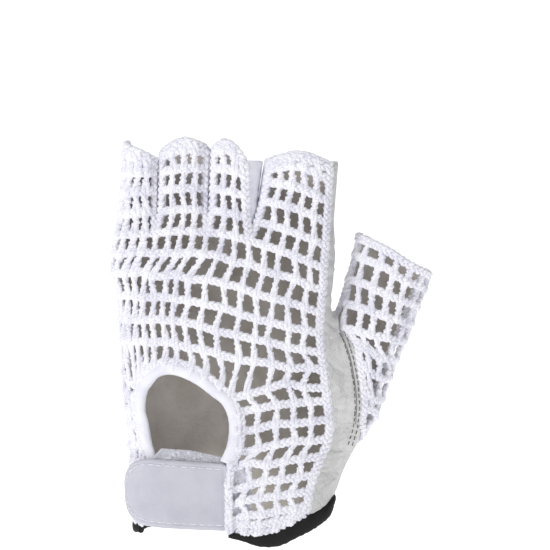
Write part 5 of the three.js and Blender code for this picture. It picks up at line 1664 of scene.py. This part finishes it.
# %% The row round the strap
def strap_row(inset):
    """The strap's outline in s and z, drawn in by an inset along its own normals and placed on its face."""
    tip, turn, end = STRAP_ENDS
    round_end = mix(turn, tip + 0.02, np.sin(np.linspace(0, np.pi / 2, 40)))
    s = np.concatenate([np.linspace(end, turn, 60), round_end[1:]])
    low, high = strap_span(s)
    outline = np.concatenate([np.stack([s, high], 1), np.stack([s, low], 1)[::-1]])
    steps = np.concatenate([[0], np.cumsum(np.linalg.norm(np.diff(outline, axis=0), axis=1))])
    run = np.linspace(0, steps[-1], 260)
    outline = np.stack([np.interp(run, steps, outline[:, k]) for k in (0, 1)], 1)
    along = unit(np.gradient(outline, axis=0))
    line = outline + np.stack([-along[:, 1], along[:, 0]], 1) * inset
    place = back_place(line[:, 0], line[:, 1], body_distance, strap_face(line[:, 0], line[:, 1]))
    return place, gradient(body_distance, place)[0]


place, out = strap_row(2.2)
points, faces, _ = stitches(place[4:-4], out[4:-4], pitch=3.3, length=2.6, radius=0.24, lift=0.16)
make_piece("strap_stitches", points, faces, white_thread, slot_name="strap")

# %% Hems of the palm's fingers
def hem_row(finger, first, last, inset=2.0):
    """Across the palm side of one finger, an inset below its rim."""
    top = np.array([palm_points[palm_keys[(19, c, finger)]] for c in range(first, last + 1)])
    below = np.array([palm_points[palm_keys[(18, c, finger)]] for c in range(first, last + 1)])
    line = smooth_line(top + unit(below - top) * inset, 8)[3:-3]
    field = body_and(finger)
    place = settle(field, line, -PALM_INSET, 6)
    return place, gradient(field, place)[0]


spans = {"index": (0, 7), "middle": (7, 10), "ring": (10, 13), "little": (13, 18)}
rows = [stitches(*hem_row(finger, *span), pitch=2.6, length=1.8, radius=0.2, lift=0.18)
        for finger, span in spans.items()]
make_piece("hem_stitches", *join_parts(rows)[:2], white_thread, slot_name="leather")

# %% Loops of the brushed backing
def brushed_loops(count=900):
    """Small arcs of fine fibre scattered over the band that shows above the strap."""
    s = rng.uniform(-31, 1, count)
    low, high = strap_span(s)[1] - 1.0, backing_span(s)[1] - 0.1
    z = mix(low, np.maximum(low + 0.1, high), rng.random(count) ** 0.8)
    foot = back_place(s, z, body_distance, layer_level(s) - 0.15)
    out = gradient(body_distance, foot)[0]
    lean = unit(np.cross(out, rng.normal(0, 1, (count, 3))))
    a = np.linspace(0, np.pi, 6)
    size = rng.uniform(0.35, 0.75, (count, 1, 1))
    arc = (lean[:, None] * np.cos(a)[:, None] * 0.6 + out[:, None] * np.sin(a)[:, None] * 0.8) * size
    return tubes(foot[:, None] + arc, out[:, None] + 0 * arc, 0.09 + 0 * arc[..., 0], 4)


points, faces, _ = brushed_loops()
make_piece("backing_loops", points, faces, loop_fleece, slot_name="fleece")

# %% [markdown]
# The glove stands in a plain pale studio. The photograph looks straight at the back of the hand from well over
# a metre, so the camera looks level along y. A broad soft light stands to the upper left, a weaker one fills
# from the right, a third lights the wall from behind, and a pale sky lifts the shade.

# %% Floor
def studio_paint(name, hex_value):
    """Matt pale paint with a trace of mottling, which glows a little so that the wall goes white."""
    material, tree, shader, place = new_material(name)
    mottle = noise(tree, place["Object"], 0.003).outputs["Fac"]
    colour = two_tones(tree, mottle, hex_value, "#FFFFFF", 0, 1)
    set_shader(tree, shader, {"Base Color": colour},
               {"Roughness": 0.95, "Emission Color": linear("#FFFFFF"), "Emission Strength": 0.6})
    return material


def studio_floor(width=3.2, depth=1.6, rise=1.6, level=-0.018):
    """A floor that runs level, turns up through a quarter circle and goes on as a wall: y and z along that
    line, drawn out along x."""
    turn = np.linspace(0, np.pi / 2, 24)
    radius = 0.5
    y = np.concatenate([[-depth], depth - radius + radius * np.sin(turn), [depth]])
    z = level + np.concatenate([[0], radius - radius * np.cos(turn), [rise]])
    x = np.array([-width / 2, width / 2])
    points = np.stack(np.broadcast_arrays(x[:, None], y[None], z[None]), -1)
    i = np.arange(len(y) - 1)
    faces = np.stack([i, len(y) + i, len(y) + i + 1, i + 1], 1)
    mesh = bpy.data.meshes.new("studio_floor")
    mesh.from_pydata(points.reshape(-1, 3).tolist(), [], faces.tolist())
    mesh.polygons.foreach_set("use_smooth", np.full(len(faces), True))
    mesh.materials.append(studio_paint("matt studio paint", "#FAFAFA"))
    floor = bpy.data.objects.new("studio_floor", mesh)
    bpy.context.scene.collection.objects.link(floor)


studio_floor()
print("floor ready")

# %% Lights
def soft_light(name, place, target, size, power, colour=(1, 1, 1)):
    """A square area light that points at the target."""
    data = bpy.data.lights.new(name, "AREA")
    data.shape = "SQUARE"
    data.size = size
    data.energy = power
    data.color = colour
    lamp = bpy.data.objects.new(name, data)
    lamp.location = place
    lamp.rotation_mode = "QUATERNION"
    lamp.rotation_quaternion = (Vector(target) - Vector(place)).to_track_quat("-Z", "Y")
    bpy.context.scene.collection.objects.link(lamp)


soft_light("key", (-0.75, -0.85, 0.85), (0, 0, 0.08), 0.42, 8.2)
soft_light("fill", (0.9, -0.9, 0.35), (0, 0, 0.08), 0.8, 1.2)
soft_light("back", (0.2, 0.8, 1.0), (0, 0, 0.08), 0.6, 2.4)
world = bpy.data.worlds.new("studio")
bpy.context.scene.world = world
world.use_nodes = True
world.node_tree.nodes["Background"].inputs["Color"].default_value = linear("#F4F6FF")
world.node_tree.nodes["Background"].inputs["Strength"].default_value = 0.26
bpy.context.scene.view_settings.view_transform = "Standard"

# %% Camera
# 0.4 mm of the glove to a pixel of the photograph's 550, with x 0 at pixel 228 and z 0 at pixel 520
PIXEL = 0.0004
DISTANCE = 1.2
data = bpy.data.cameras.new("camera")
data.sensor_fit = "HORIZONTAL"
data.sensor_width = 36
data.lens = 36 * DISTANCE / (550 * PIXEL)
camera = bpy.data.objects.new("camera", data)
camera.location = ((275 - 228) * PIXEL, -DISTANCE - 0.012, (520 - 275) * PIXEL)
camera.rotation_euler = (math.pi / 2, 0, 0)
bpy.context.scene.collection.objects.link(camera)
bpy.context.scene.camera = camera
print("camera lens:", round(data.lens, 1), "mm")
